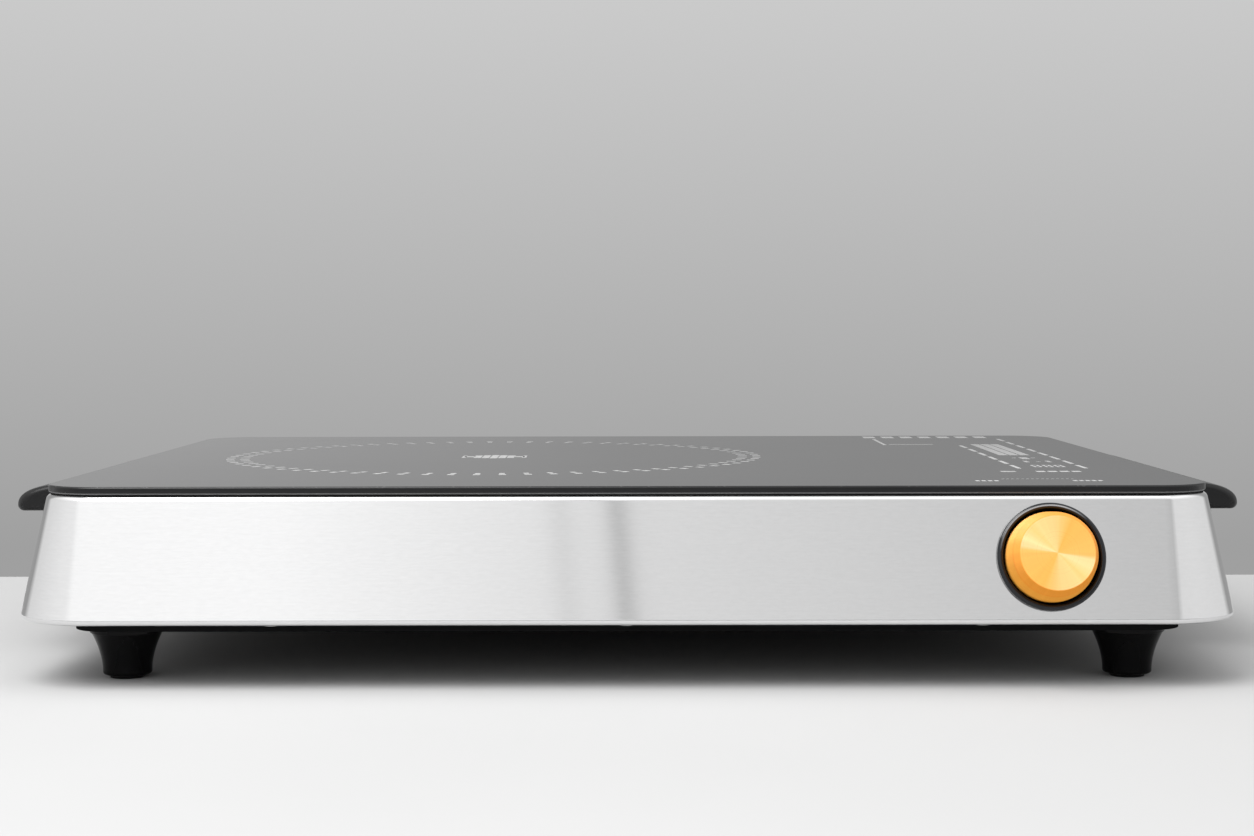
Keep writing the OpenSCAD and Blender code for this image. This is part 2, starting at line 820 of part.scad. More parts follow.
module bridge_rectifier() {
  color([0.12, 0.12, 0.13]) power_package(4, 34, 15, 4);
}

module film_capacitor(low, size) {
  translate(low) difference() {
    cube(size);
    translate([1.5, 1.5, size[2] - 0.4]) cube([size[0] - 3, size[1] - 3, 1]);
  }
}

module resonant_capacitor() {
  color([0.75, 0.7, 0.2]) film_capacitor([-126, -92, board_top], [18, 36, 20]);
}

module smoothing_capacitor() {
  color([0.8, 0.75, 0.25]) film_capacitor([-100, -92, board_top], [18, 36, 20]);
}

module filter_choke() {
  color([0.75, 0.45, 0.2]) translate([-96, -38, board_top + 5]) {
    rotate_extrude() translate([10, 0]) circle(5);
    for (a = [45, 225]) rotate([0, 0, a]) translate([10, 0, -5]) cylinder(r = 0.8, h = 2);
  }
}

module electrolytic_capacitors() {
  color([0.15, 0.15, 0.3]) for (x = [-36, -52]) translate([x, -112, board_top]) {
    cylinder(r = 6, h = 1.2);
    cylinder(r = 5.6, h = 2);
    translate([0, 0, 1.9]) cylinder(r = 6, h = 14);
  }
}

module line_fuse() {
  color([0.8, 0.8, 0.75]) translate([-132, -48, board_top + 4]) rotate([-90, 0, 0]) {
    cylinder(r = 2.5, h = 20);
    for (y = [0, 15]) translate([-3.2, -3.2, y]) cube([6.4, 7.2, 5]);
  }
}

module standby_transformer() {
  color([0.85, 0.8, 0.2]) {
    box_between([-84, -123, board_top], [-62, -105, board_top + 3]);
    box_between([-82, -121, board_top + 2.9], [-64, -107, board_top + 16]);
    box_between([-86, -117, board_top + 6], [-60, -111, board_top + 13]);
  }
}

module buzzer() {
  color([0.05, 0.05, 0.05]) translate([-20, -113, board_top]) tube(6, 1, 7);
}

module terminal_block() {
  color([0.2, 0.5, 0.3]) difference() {
    box_between([-126, -36, board_top], [-112, -22, board_top + 11]);
    for (x = [-122.5, -115.5]) bore([x, -26], 1.6, board_top + 5, board_top + 12);
  }
}

module controller_chip() {
  color([0.08, 0.08, 0.08]) {
    box_between([4, -124, board_top], [24, -114, board_top + 2.4]);
    for (i = [0:7], y = [-126, -114.1])
      translate([5 + i * 2.4, y, board_top]) cube([1, 2.1, 1.2]);
  }
}

// ---- controls under the glass ----

module control_bracket() {
  color([0.12, 0.12, 0.12]) difference() {
    box_between([bracket_x0, bracket_y0, bracket_z], [bracket_x1, bracket_y1, control_z]);
    box_between([118, -80, bracket_z - 1], [158, 90, control_z + 1]);
    for (p = BRACKET_POSTS) bore(p, clear_r, bracket_z - 1, control_z + 1);
  }
}

module control_board() {
  color([0.1, 0.4, 0.2]) difference() {
    box_between([bracket_x0 + 1, bracket_y0 + 1, control_z + GAP],
                [bracket_x1 - 1, bracket_y1 - 1, control_top]);
    for (p = BRACKET_POSTS) bore(p, clear_r, control_z - 1, control_top + 1);
  }
}

module display_module() {
  color([0.9, 0.9, 0.9]) difference() {
    box_between([139, -62, control_top], [159, 78, glass_z - 0.4]);
    for (i = [0:5]) box_between([142, -57 + 22 * i, glass_z - 1], [156, -40 + 22 * i, glass_z]);
  }
}

module touch_springs() {
  color([0.8, 0.8, 0.75]) for (p = KEYS) translate([p[0], p[1], control_top]) {
    tube(4, 3.2, glass_z - control_top - GAP);
    cylinder(r = 3.6, h = 0.6);
  }
}

module bracket_screws() {
  color("gray") for (p = BRACKET_POSTS) translate([p[0], p[1], control_top])
    screw(screw_r, 12, screw_head_r, screw_head_h);
}

// flat cable from the control board down to the power board
module ribbon_cable() {
  color([0.7, 0.7, 0.72]) translate([0, -117, 0]) {
    box_between([88, 0, bracket_z - 1.2], [101, 10, bracket_z - 0.2]);
    box_between([88, 0, board_top + 2], [89, 10, bracket_z - 0.2]);
    box_between([42, 0, board_top + 2], [89, 10, board_top + 3]);
    box_between([36, -1, board_top], [43, 11, board_top + 4.5]);
  }
}

module fan_lead() {
  color([0.75, 0.1, 0.1]) {
    box_between([39, -36, board_top + 1], [fan_x - fan_size / 2, -32, board_top + 2.4]);
    box_between([32, -37, board_top], [40, -31, board_top + 5]);
  }
}

glass_panel();
glass_gasket();
housing_shell();
base_pan();
base_screws();
foot_front_left();
foot_front_right();
foot_rear_left();
foot_rear_right();
foot_pads();
foot_screws();
handle_left();
handle_right();
handle_screws();
cord_gland();
gland_nut();
knob_cap();
knob_core();
knob_bezel();
encoder_body();
encoder_rotor();
encoder_shaft();
encoder_nut();
encoder_board();
fan_frame();
fan_stator();
fan_bearing();
fan_rotor();
fan_shaft();
fan_screws();
coil_former();
induction_coil();
ferrite_bars();
coil_leads();
coil_screws();
mica_sheet();
sensor_holder();
pan_sensor();
power_board();
board_screws();
heatsink();
power_transistor();
bridge_rectifier();
resonant_capacitor();
smoothing_capacitor();
filter_choke();
electrolytic_capacitors();
line_fuse();
standby_transformer();
buzzer();
terminal_block();
controller_chip();
control_bracket();
control_board();
display_module();
touch_springs();
bracket_screws();
ribbon_cable();
fan_lead();
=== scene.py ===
"""Looks of the induction cooktop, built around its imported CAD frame."""
import json
import math

import bpy
from mathutils import Matrix, Vector


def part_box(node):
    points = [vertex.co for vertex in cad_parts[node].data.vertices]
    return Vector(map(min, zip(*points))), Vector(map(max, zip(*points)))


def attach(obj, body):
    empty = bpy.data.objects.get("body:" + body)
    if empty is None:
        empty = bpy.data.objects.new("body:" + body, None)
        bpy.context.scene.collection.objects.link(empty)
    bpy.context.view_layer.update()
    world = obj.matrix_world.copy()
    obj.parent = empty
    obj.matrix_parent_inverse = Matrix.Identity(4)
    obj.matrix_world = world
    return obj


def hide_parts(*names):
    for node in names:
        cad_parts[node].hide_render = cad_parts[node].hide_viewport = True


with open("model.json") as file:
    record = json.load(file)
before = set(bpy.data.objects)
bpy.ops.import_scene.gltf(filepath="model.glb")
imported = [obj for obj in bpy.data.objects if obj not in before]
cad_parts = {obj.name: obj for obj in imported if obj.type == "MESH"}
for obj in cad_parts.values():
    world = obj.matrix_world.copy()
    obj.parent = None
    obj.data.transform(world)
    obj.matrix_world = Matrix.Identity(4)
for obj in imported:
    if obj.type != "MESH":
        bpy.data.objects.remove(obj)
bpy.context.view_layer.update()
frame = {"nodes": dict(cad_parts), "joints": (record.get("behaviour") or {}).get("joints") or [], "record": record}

MM = 0.001
TAU = 2 * math.pi

# ---------------------------------------------------------------- places from the frame

GLASS_LOW, GLASS_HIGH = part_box("glass_panel")
SHELL_LOW, SHELL_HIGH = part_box("housing_shell")
JOINTS = {joint["name"]: joint for joint in frame["joints"]}
MOUNTS = {mount["name"]: mount for mount in frame["record"]["mounts"]}
KNOB_CENTRE = Vector(JOINTS["knob_turn"]["pos_m"])
KNOB_AXIS = Vector(JOINTS["knob_turn"]["axis"]).normalized()
KNOB_UP = (Vector((0, 0, 1)) - KNOB_AXIS * KNOB_AXIS.z).normalized()
KNOB_RIGHT = KNOB_UP.cross(KNOB_AXIS)
KNOB_REACH = 11.3 * MM
ZONE_CENTRE = Vector(MOUNTS["cooking_surface"]["pos_m"])
GLAND_CENTRE = Vector(MOUNTS["cord_bore"]["pos_m"])

# housing section, as the sheet is folded
STEEL_TOP = SHELL_HIGH.z
SKIRT_Z = SHELL_LOW.z
WALL_FLARE = 9 * MM
WALL_TILT = math.atan(WALL_FLARE / (STEEL_TOP - SKIRT_Z))
SHEET = 1 * MM
SHELL_CORNER = 17 * MM
TOP_BEND = 2.2 * MM
SKIRT_BEND = 1.6 * MM
TOP_FLANGE = 11.5 * MM
SKIRT_FLANGE = 12 * MM
TOP_CENTRE = (-TOP_BEND * (1 - math.sin(WALL_TILT)) / math.cos(WALL_TILT), STEEL_TOP - TOP_BEND)
SKIRT_CENTRE = (((STEEL_TOP - SKIRT_Z - SKIRT_BEND) * math.sin(WALL_TILT) - SKIRT_BEND)
                / math.cos(WALL_TILT), SKIRT_Z + SKIRT_BEND)
HALF_W = SHELL_HIGH.x - SKIRT_CENTRE[0] - SKIRT_BEND
HALF_D = SHELL_HIGH.y - SKIRT_CENTRE[0] - SKIRT_BEND


def wall_w(z):
    """Half width of the outer steel surface at a height."""
    return HALF_W + math.tan(WALL_TILT) * (STEEL_TOP - z)


# ---------------------------------------------------------------- mesh helpers


def arc(centre, radius, start, end, steps):
    """Points of an arc in a plane, angles in degrees."""
    angles = [math.radians(start + (end - start) * i / steps) for i in range(steps + 1)]
    return [(centre[0] + radius * math.cos(a), centre[1] + radius * math.sin(a)) for a in angles]


def grid_faces(rows, columns, wrap_rows):
    """Quads of a tube whose rows are closed rings."""
    last = rows if wrap_rows else rows - 1
    faces = []
    for i in range(last):
        for j in range(columns):
            a, b = i * columns + j, i * columns + (j + 1) % columns
            c, d = (i + 1) % rows * columns + (j + 1) % columns, (i + 1) % rows * columns + j
            faces.append((a, b, c, d))
    return faces


def outward(mesh):
    """Turns every face outwards."""
    import bmesh
    work = bmesh.new()
    work.from_mesh(mesh)
    bmesh.ops.recalc_face_normals(work, faces=work.faces)
    work.to_mesh(mesh)
    work.free()


def add_piece(name, points, faces, body, slot, stands_for=(), place=None, sharp=35):
    """Makes a mesh piece that rides on a body and stands for CAD nodes."""
    mesh = bpy.data.meshes.new(name)
    mesh.from_pydata([tuple(p) for p in points], [], faces)
    mesh.validate()
    outward(mesh)
    piece = bpy.data.objects.new(name, mesh)
    bpy.context.scene.collection.objects.link(piece)
    if place is not None:
        piece.matrix_world = place
    finish_shading(piece, sharp)
    piece.data.materials.append(MATERIALS[slot])
    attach(piece, body)
    if stands_for:
        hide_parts(*stands_for)
    return piece


def finish_shading(piece, sharp):
    """Smooth shading that keeps flat faces flat and real edges crisp."""
    piece.data.shade_smooth()
    piece.data.set_sharp_from_angle(angle=math.radians(sharp))
    weighted = piece.modifiers.new("weighted", "WEIGHTED_NORMAL")
    weighted.keep_sharp = True
    weighted.weight = 90


def lathe(name, outline, body, slot, stands_for, place, steps=96, sharp=35):
    """Revolves a closed outline of (radius, height) about the Z axis of a place."""
    turn = place.to_3x3()
    points = []
    for radius, height in outline:
        points += [turn @ Vector((radius * math.cos(TAU * j / steps),
                                  radius * math.sin(TAU * j / steps), height))
                   for j in range(steps)]
    piece = add_piece(name, points, grid_faces(len(outline), steps, True), body, slot,
                      stands_for, Matrix.Translation(place.translation), sharp)
    weld(piece)
    return piece


def weld(piece):
    """Joins the points that meet on the axis."""
    import bmesh
    work = bmesh.new()
    work.from_mesh(piece.data)
    bmesh.ops.remove_doubles(work, verts=work.verts, dist=1e-7)
    bmesh.ops.dissolve_degenerate(work, edges=work.edges, dist=1e-7)
    bmesh.ops.recalc_face_normals(work, faces=work.faces)
    work.to_mesh(piece.data)
    work.free()


def rounded_ring(half_w, half_d, radius, z, steps=24):
    """Points round a rectangle with round corners, at one height."""
    points = []
    for quarter, (sx, sy) in enumerate(((1, 1), (-1, 1), (-1, -1), (1, -1))):
        for step in range(steps + 1):
            a = math.radians(90 * (quarter + step / steps))
            points.append((sx * (half_w - radius) + radius * math.cos(a),
                           sy * (half_d - radius) + radius * math.sin(a), z))
    return points


def cylinder_points(centre, axis, radius, half, steps):
    """Points and faces of a closed cylinder about any axis."""
    turn = Vector(axis).to_track_quat("Z", "Y").to_matrix()
    rim = [(radius * math.cos(TAU * j / steps), radius * math.sin(TAU * j / steps))
           for j in range(steps)]
    points = [Vector(centre) + turn @ Vector((x, y, h)) for h in (-half, half) for x, y in rim]
    faces = [(j, (j + 1) % steps, steps + (j + 1) % steps, steps + j) for j in range(steps)]
    faces += [tuple(reversed(range(steps))), tuple(range(steps, 2 * steps))]
    return points, faces


def cut(piece, cutters):
    """Takes closed solids, given as (points, faces), out of a piece."""
    points, faces = [], []
    for more_points, more_faces in cutters:
        faces += [tuple(len(points) + i for i in face) for face in more_faces]
        points += more_points
    mesh = bpy.data.meshes.new("cutter")
    mesh.from_pydata([tuple(p) for p in points], [], faces)
    outward(mesh)
    tool = bpy.data.objects.new("cutter", mesh)
    bpy.context.scene.collection.objects.link(tool)
    boolean = piece.modifiers.new("cut", "BOOLEAN")
    boolean.operation, boolean.solver, boolean.object = "DIFFERENCE", "EXACT", tool
    weighted = piece.modifiers["weighted"]
    weighted.show_viewport = False
    bpy.context.view_layer.update()
    done = bpy.data.meshes.new_from_object(piece.evaluated_get(bpy.context.evaluated_depsgraph_get()))
    piece.modifiers.remove(boolean)
    weighted.show_viewport = True
    piece.data = done
    bpy.data.objects.remove(tool)


# ---------------------------------------------------------------- material helpers


class Nodes:
    """A node tree whose nodes are added one call at a time."""

    def __init__(self, tree):
        self.tree = tree

    def put(self, socket, value):
        """Links a socket to another node's socket, or sets it to a constant."""
        if isinstance(value, bpy.types.NodeSocket):
            self.tree.links.new(value, socket)
        else:
            socket.default_value = value

    def add(self, kind, values=(), **settings):
        """Adds a node; values maps its inputs to constants or to other nodes' sockets."""
        node = self.tree.nodes.new("ShaderNode" + kind)
        for key, value in settings.items():
            setattr(node, key, value)
        for key, value in dict(values).items():
            self.put(node.inputs[key], value)
        return node

    def math(self, operation, first, second):
        return self.add("Math", {0: first, 1: second}, operation=operation).outputs[0]

    def vector_math(self, operation, first, second):
        return self.add("VectorMath", {0: first, 1: second}, operation=operation).outputs[0]

    def mix(self, factor, first, second):
        """Mixes two colours."""
        node = self.add("Mix", {0: factor}, data_type="RGBA")
        for key, value in ((6, first), (7, second)):
            self.put(node.inputs[key], value if isinstance(value, bpy.types.NodeSocket) else (*value, 1))
        return node.outputs[2]

    def ramp(self, source, low, high, stops):
        """A grey ramp over low..high; stops are (value, grey)."""
        spread = self.add("MapRange", {"Value": source, "From Min": low, "From Max": high})
        node = self.add("ValToRGB", {0: spread.outputs[0]})
        elements = node.color_ramp.elements
        for i, (value, grey) in enumerate(stops):
            position = (value - low) / (high - low)
            element = elements[i] if i < 2 else elements.new(position)
            element.position = position
            element.color = (grey, grey, grey, 1)
        return node.outputs[0]


class Shader(Nodes):
    """A Principled material."""

    def __init__(self, name, color, metallic, roughness, **constants):
        self.material = bpy.data.materials.new(name)
        self.material.use_nodes = True
        super().__init__(self.material.node_tree)
        self.surface = self.tree.nodes["Principled BSDF"]
        self.surface.inputs["Base Color"].default_value = (*color, 1)
        self.surface.inputs["Metallic"].default_value = metallic
        self.surface.inputs["Roughness"].default_value = roughness
        for key, value in constants.items():
            self.surface.inputs[key.replace("_", " ")].default_value = value
        self.coordinates = self.tree.nodes.new("ShaderNodeTexCoord")

    def noise(self, scale, detail=3, stretch=(1, 1, 1)):
        """Noise in object space; scale is in cycles per metre."""
        space = self.add("Mapping", {"Vector": self.coordinates.outputs["Object"],
                                     "Scale": stretch})
        return self.add("TexNoise", {"Vector": space.outputs[0], "Scale": scale,
                                     "Detail": detail}).outputs["Fac"]

    def span(self, value, low, high):
        """Maps a value from 0..1 to low..high."""
        return self.add("MapRange", {"Value": value, "To Min": low, "To Max": high}).outputs[0]

    def bump(self, height, strength, distance, normal=None):
        """Raises the surface by a height in 0..1, over a distance in metres."""
        node = self.add("Bump", {"Height": height, "Strength": strength, "Distance": distance})
        if normal:
            self.put(node.inputs["Normal"], normal)
        self.feed("Normal", node.outputs[0])

    def feed(self, socket, source):
        self.put(self.surface.inputs[socket], source)

    def in_world(self, direction):
        """Turns a direction from object space to world space."""
        return self.add("VectorTransform", {"Vector": direction}, vector_type="VECTOR",
                        convert_from="OBJECT", convert_to="WORLD").outputs[0]

    def round_knob(self):
        """Radius, angle and height about the knob's axis."""
        place = self.coordinates.outputs["Object"]
        x, y, z = [self.add("VectorMath", {0: place, 1: way}, operation="DOT_PRODUCT").outputs[1]
                   for way in (KNOB_RIGHT, KNOB_UP, KNOB_AXIS)]
        flat = self.add("CombineXYZ", {0: x, 1: y}).outputs[0]
        radius = self.add("VectorMath", {0: flat}, operation="LENGTH").outputs[1]
        return radius, self.math("ARCTAN2", y, x), z

    def dull(self, share, color):
        """Lays a matt film over the surface, by a share in 0..1."""
        film = self.add("BsdfDiffuse", {"Color": (*color, 1)})
        both = self.add("MixShader", {0: share, 1: self.surface.outputs[0], 2: film.outputs[0]})
        self.put(self.tree.nodes["Material Output"].inputs["Surface"], both.outputs[0])


def scaled(color, factor):
    """A colour made paler or darker."""
    return tuple(min(1, c * factor) for c in color)


def moulded(name, color, roughness, grain=2500, depth=0.02, spread=0.08, **constants):
    """Moulded plastic or rubber: fine grain, slight tone and gloss variation."""
    shader = Shader(name, color, 0, roughness, **constants)
    tone = shader.noise(90, 4)
    shader.feed("Base Color", shader.mix(tone, scaled(color, 0.82), scaled(color, 1.2)))
    shader.feed("Roughness", shader.span(shader.noise(300, 5), roughness - spread, roughness + spread))
    shader.bump(shader.noise(grain, 2), 0.35, depth * MM)
    return shader.material


def metal(name, color, roughness, grain=1800, **constants):
    """Plain machined or plated metal with faint handling marks."""
    shader = Shader(name, color, 1, roughness, **constants)
    shader.feed("Base Color", shader.mix(shader.noise(60, 5), scaled(color, 0.85), scaled(color, 1.08)))
    shader.feed("Roughness", shader.span(shader.noise(500, 6), roughness * 0.7, roughness * 1.4))
    shader.bump(shader.noise(grain, 3), 0.2, 0.01 * MM)
    return shader.material


def brushed_steel():
    """Stainless sheet brushed along the walls, so its grain runs level all round."""
    color = (0.8, 0.8, 0.803)
    shader = Shader("brushed_steel", color, 1, 0.1, Anisotropic=1.0)
    # grain: cycles per metre along the walls twice, then up them
    fine = shader.noise(1, 2, (380, 380, 1500))
    long = shader.noise(1, 2, (60, 60, 2200))
    cloud = shader.noise(9, 4)
    grain = shader.mix(0.35, fine, long)
    shader.feed("Base Color", shader.mix(grain, scaled(color, 0.95), scaled(color, 1.05)))
    shader.feed("Roughness", shader.span(shader.mix(0.6, fine, cloud), 0.06, 0.09))
    # not quite upright, so that level faces have a grain direction too
    level = shader.vector_math("CROSS_PRODUCT", (0.001, 0.002, 1), shader.coordinates.outputs["Normal"])
    shader.feed("Tangent", shader.in_world(level))
    shader.surface.inputs["Anisotropic Rotation"].default_value = 0.25
    shader.bump(fine, 1.0, 0.00015 * MM)
    return shader.material


# how much of the glass's shine is dulled by a matt film, more towards +x, a painted shade of its reflection: place
# across in metres, share
GLASS_PAINTED_DULLING = [(-0.18, 0.1), (0, 0.3), (0.18, 0.4)]


def black_glass():
    """Polished ceramic glass with specks of dust; a matt film dulls its shine more towards +x, a painted shade of
    its reflection.
    """
    color = (0.012, 0.0125, 0.0135)
    shader = Shader("glass_top", color, 0, 0.06, IOR=1.52)
    specks = shader.span(shader.noise(1500, 0), -11, 4)
    shader.feed("Base Color", shader.mix(specks, color, (0.09, 0.09, 0.09)))
    shader.feed("Roughness", shader.span(shader.noise(9, 4, (1, 2.5, 1)), 0.04, 0.11))
    shader.bump(shader.noise(14, 2), 0.04, 0.05 * MM)
    place = shader.add("SeparateXYZ", {"Vector": shader.coordinates.outputs["Object"]})
    # painted shade: the glass's reflection dulled more towards +x
    shader.dull(shader.ramp(place.outputs[0], -0.2, 0.2, GLASS_PAINTED_DULLING), (0.012, 0.012, 0.0125))
    return shader.material


# painted highlight of the spun face, in sectors over half a turn: degrees, share of the lighter tone
FACE_PAINTED_SHEEN = [(0, 0.1), (65, 0), (95, 0.65), (125, 0.65), (135, 0.4), (155, 1), (168, 1),
              (175, 0.15), (180, 0.1)]
# painted light and shade of the side from its root to the face, lighter near the root and a painted shade at the
# shoulder: millimetres, share of the lighter tone
SIDE_PAINTED_SHADING = [(0, 1), (6.9, 0.8), (7.7, 0), (8.5, 0.35), (11, 0.3)]
# how far the knob's satin side shines forward, as a share of its axis
SIDE_LEAN = 1.7
# how metallic the side shines: upward part of its outward direction, share; more metallic facing down, so the
# lower side mirrors the bright table, a painted brightening
SIDE_METAL = [(-1, 0.9), (-0.5, 0.9), (0, 0.3), (0.55, 0.1)]


def gold_metal(name, color, light, spun):
    """Gold anodised aluminium turned on a lathe: its grain runs in circles about the axis. Its base colour carries
    painted highlight and shade.
    """
    shader = Shader(name, color, 0.2 if spun else 0.1, 0.3, Anisotropic=0.96 if spun else 0.6)
    place = shader.coordinates.outputs["Object"]
    normal = shader.coordinates.outputs["Normal"]
    radius, angle, z = shader.round_knob()
    rings = shader.add("TexNoise", {"W": radius if spun else z, "Scale": 5200, "Detail": 2},
                       noise_dimensions="1D").outputs[0]
    if spun:
        # the spun face: painted highlight sectors, repeating every half turn
        half_turn = shader.math("FLOORED_MODULO", angle, math.pi)
        share = shader.ramp(half_turn, 0, math.pi,
                            [(math.radians(a), grey) for a, grey in FACE_PAINTED_SHEEN])
        facing = normal
    else:
        # the side: painted light and shade in bands by height
        share = shader.ramp(z, 0, KNOB_REACH, [(height * MM, grey) for height, grey in SIDE_PAINTED_SHADING])
        # more metallic where the side faces down: a painted brightening of the lower side
        outward_way = shader.add("SeparateXYZ", {"Vector": shader.in_world(normal)})
        shader.feed("Metallic", shader.ramp(outward_way.outputs[2], -1, 1, SIDE_METAL))
        facing = shader.vector_math("ADD", normal, KNOB_AXIS * SIDE_LEAN)
    # random darker sectors round the axis: partly wear, partly a painted streaky sheen of the turned metal
    sweep = shader.add("TexNoise", {"W": angle, "Scale": 5, "Detail": 3}, noise_dimensions="1D")
    wear_and_painted_sheen = shader.mix(sweep.outputs[0], (0.88, 0.84, 0.8), (1, 1, 1))
    shader.feed("Base Color", shader.vector_math("MULTIPLY", shader.mix(share, color, light), wear_and_painted_sheen))
    rough = 0.3 if spun else 0.42
    shader.feed("Roughness", shader.span(rings, rough - 0.06, rough + 0.06))
    round_axis = shader.vector_math("CROSS_PRODUCT", KNOB_AXIS, place)
    shader.feed("Tangent", shader.in_world(round_axis))
    shader.surface.inputs["Anisotropic Rotation"].default_value = 0.25
    facing = shader.add("VectorMath", {0: shader.in_world(facing)}, operation="NORMALIZE").outputs[0]
    shader.bump(rings, 0.1, 0.003 * MM, facing)
    return shader.material


# painted highlight along the bezel's crest: radius in mm, and degrees round the axis, against its share
BEZEL_HIGHLIGHT_BAND = [(15.5, 0), (15.7, 1), (15.9, 1), (16.1, 0)]
BEZEL_HIGHLIGHT_ARC = [(45, 0), (75, 1), (140, 0.8), (175, 0)]


def bezel():
    """Glossy black ring with a painted highlight along its crest towards the upper left."""
    shader = Shader("bezel_plastic", (0.004, 0.005, 0.007), 0, 0.12, Specular_IOR_Level=0.45)
    radius, angle, _ = shader.round_knob()
    crest = shader.ramp(radius, 15 * MM, 17 * MM, [(r * MM, share) for r, share in BEZEL_HIGHLIGHT_BAND])
    painted_highlight_arc = shader.ramp(angle, 0, math.pi, [(math.radians(a), share) for a, share in BEZEL_HIGHLIGHT_ARC])
    wear_and_painted_sheen = shader.math("MULTIPLY", crest, painted_highlight_arc)
    tone = shader.mix(shader.noise(150, 3), (0.003, 0.004, 0.006), (0.005, 0.006, 0.009))
    # painted highlight: the crest paler towards the upper left
    shader.feed("Base Color", shader.mix(wear_and_painted_sheen, tone, (0.34, 0.36, 0.38)))
    shader.feed("Roughness", shader.span(shader.noise(300, 5), 0.08, 0.16))
    shader.bump(shader.noise(900, 2), 0.3, 0.002 * MM)
    return shader.material


def ink(name, grey):
    """Screen-printed ceramic ink, darker towards the back of the glass."""
    shader = Shader(name, (grey, grey, grey), 0, 0.45)
    place = shader.add("SeparateXYZ", {"Vector": shader.coordinates.outputs["Object"]})
    tone = shader.ramp(place.outputs[1], -0.13, 0.13, [(-0.12, grey), (0.1, grey * 0.65)])
    patchy = shader.mix(shader.noise(420, 3), (0.75, 0.75, 0.75), (1.1, 1.1, 1.1))
    shader.feed("Base Color", shader.vector_math("MULTIPLY", tone, patchy))
    shader.feed("Roughness", shader.span(shader.noise(800, 3), 0.35, 0.6))
    shader.bump(shader.noise(5000, 2), 0.3, 0.01 * MM)
    return shader.material


def circuit_board():
    """Solder mask with a faint pattern of copper tracks under it."""
    shader = Shader("circuit_board", (0.03, 0.2, 0.09), 0, 0.35)
    tracks = shader.add("TexBrick", {"Vector": shader.coordinates.outputs["Object"], "Scale": 120.0,
                                     "Color1": (0.03, 0.2, 0.09, 1), "Color2": (0.025, 0.16, 0.075, 1),
                                     "Mortar": (0.06, 0.3, 0.13, 1), "Mortar Size": 0.03})
    shader.feed("Base Color", tracks.outputs[0])
    shader.feed("Roughness", shader.span(shader.noise(400, 3), 0.28, 0.45))
    shader.bump(tracks.outputs[1], 0.3, 0.03 * MM)
    return shader.material


MATERIALS = {
    "glass_top": black_glass(),
    "brushed_steel": brushed_steel(),
    "gold_anodised": gold_metal("gold_anodised", (1.0, 0.365, 0.045),
                                (1.0, 0.45, 0.065), False),
    "circuit_board": circuit_board(),
    "black_rubber": moulded("black_rubber", (0.008, 0.008, 0.008), 0.75, grain=4000,
                            Specular_IOR_Level=0.15),
    "black_plastic": moulded("black_plastic", (0.01, 0.01, 0.0103), 0.6, grain=3200, depth=0.03,
                             Specular_IOR_Level=0.0),
    "foot_plastic": moulded("foot_plastic", (0.003, 0.003, 0.0032), 0.16, grain=1500, spread=0.05,
                            Specular_IOR_Level=0.1),
    "handle_plastic": moulded("handle_plastic", (0.008, 0.008, 0.0083), 0.33, grain=3800,
                              Specular_IOR_Level=0.25),
    "bezel_plastic": bezel(),
    "fan_plastic": moulded("fan_plastic", (0.02, 0.02, 0.021), 0.4),
    "former_plastic": moulded("former_plastic", (0.6, 0.55, 0.42), 0.6),
    "ferrite": moulded("ferrite", (0.07, 0.07, 0.075), 0.6, grain=3000, depth=0.05),
    "lead_sleeve": moulded("lead_sleeve", (0.4, 0.03, 0.02), 0.55),
    "mica": moulded("mica", (0.6, 0.52, 0.36), 0.5, grain=700),
    "white_rubber": moulded("white_rubber", (0.7, 0.7, 0.66), 0.6),
    "component_black": moulded("component_black", (0.02, 0.02, 0.02), 0.5),
    "component_yellow": moulded("component_yellow", (0.7, 0.55, 0.06), 0.4),
    "component_blue": moulded("component_blue", (0.03, 0.04, 0.16), 0.3),
    "component_green": moulded("component_green", (0.05, 0.3, 0.1), 0.45),
    "fuse_ceramic": moulded("fuse_ceramic", (0.75, 0.72, 0.64), 0.35),
    "display_white": moulded("display_white", (0.8, 0.8, 0.8), 0.3),
    "cable_grey": moulded("cable_grey", (0.4, 0.4, 0.42), 0.5),
    "screw_steel": metal("screw_steel", (0.5, 0.5, 0.5), 0.3),
    "plain_steel": metal("plain_steel", (0.62, 0.62, 0.63), 0.28),
    "brass_parts": metal("brass_parts", (0.78, 0.58, 0.25), 0.3),
    "copper": metal("copper", (0.72, 0.3, 0.12), 0.32, grain=2600),
    "heatsink_aluminium": metal("heatsink_aluminium", (0.72, 0.72, 0.74), 0.38),
}
# the paler tone of the face is its painted highlight
GOLD_FACE = gold_metal("gold_spun_face", (1.0, 0.485, 0.095), (1.0, 0.7, 0.32), True)
GLASS_EDGE = moulded("glass_edge", (0.01, 0.01, 0.0105), 0.22, grain=1500, depth=0.004,
                     Specular_IOR_Level=0.25)
# pale grey for the plate's downward faces: a painted highlight along the lower grind of the edge
GLASS_BEVEL_HIGHLIGHT = moulded("glass_bevel_highlight", (0.11, 0.11, 0.112), 0.5, grain=2500, depth=0.004)
# darker matt black for the ring's inner side: painted shade of the gap round the knob
BEZEL_GAP_SHADE = moulded("bezel_gap_shade", (0.002, 0.002, 0.0023), 0.5, grain=1800, depth=0.01,
                       Specular_IOR_Level=0.03)
INK = ink("panel_ink", 0.55)
INK_DIM = ink("panel_ink_dim", 0.45)

# ---------------------------------------------------------------- housing


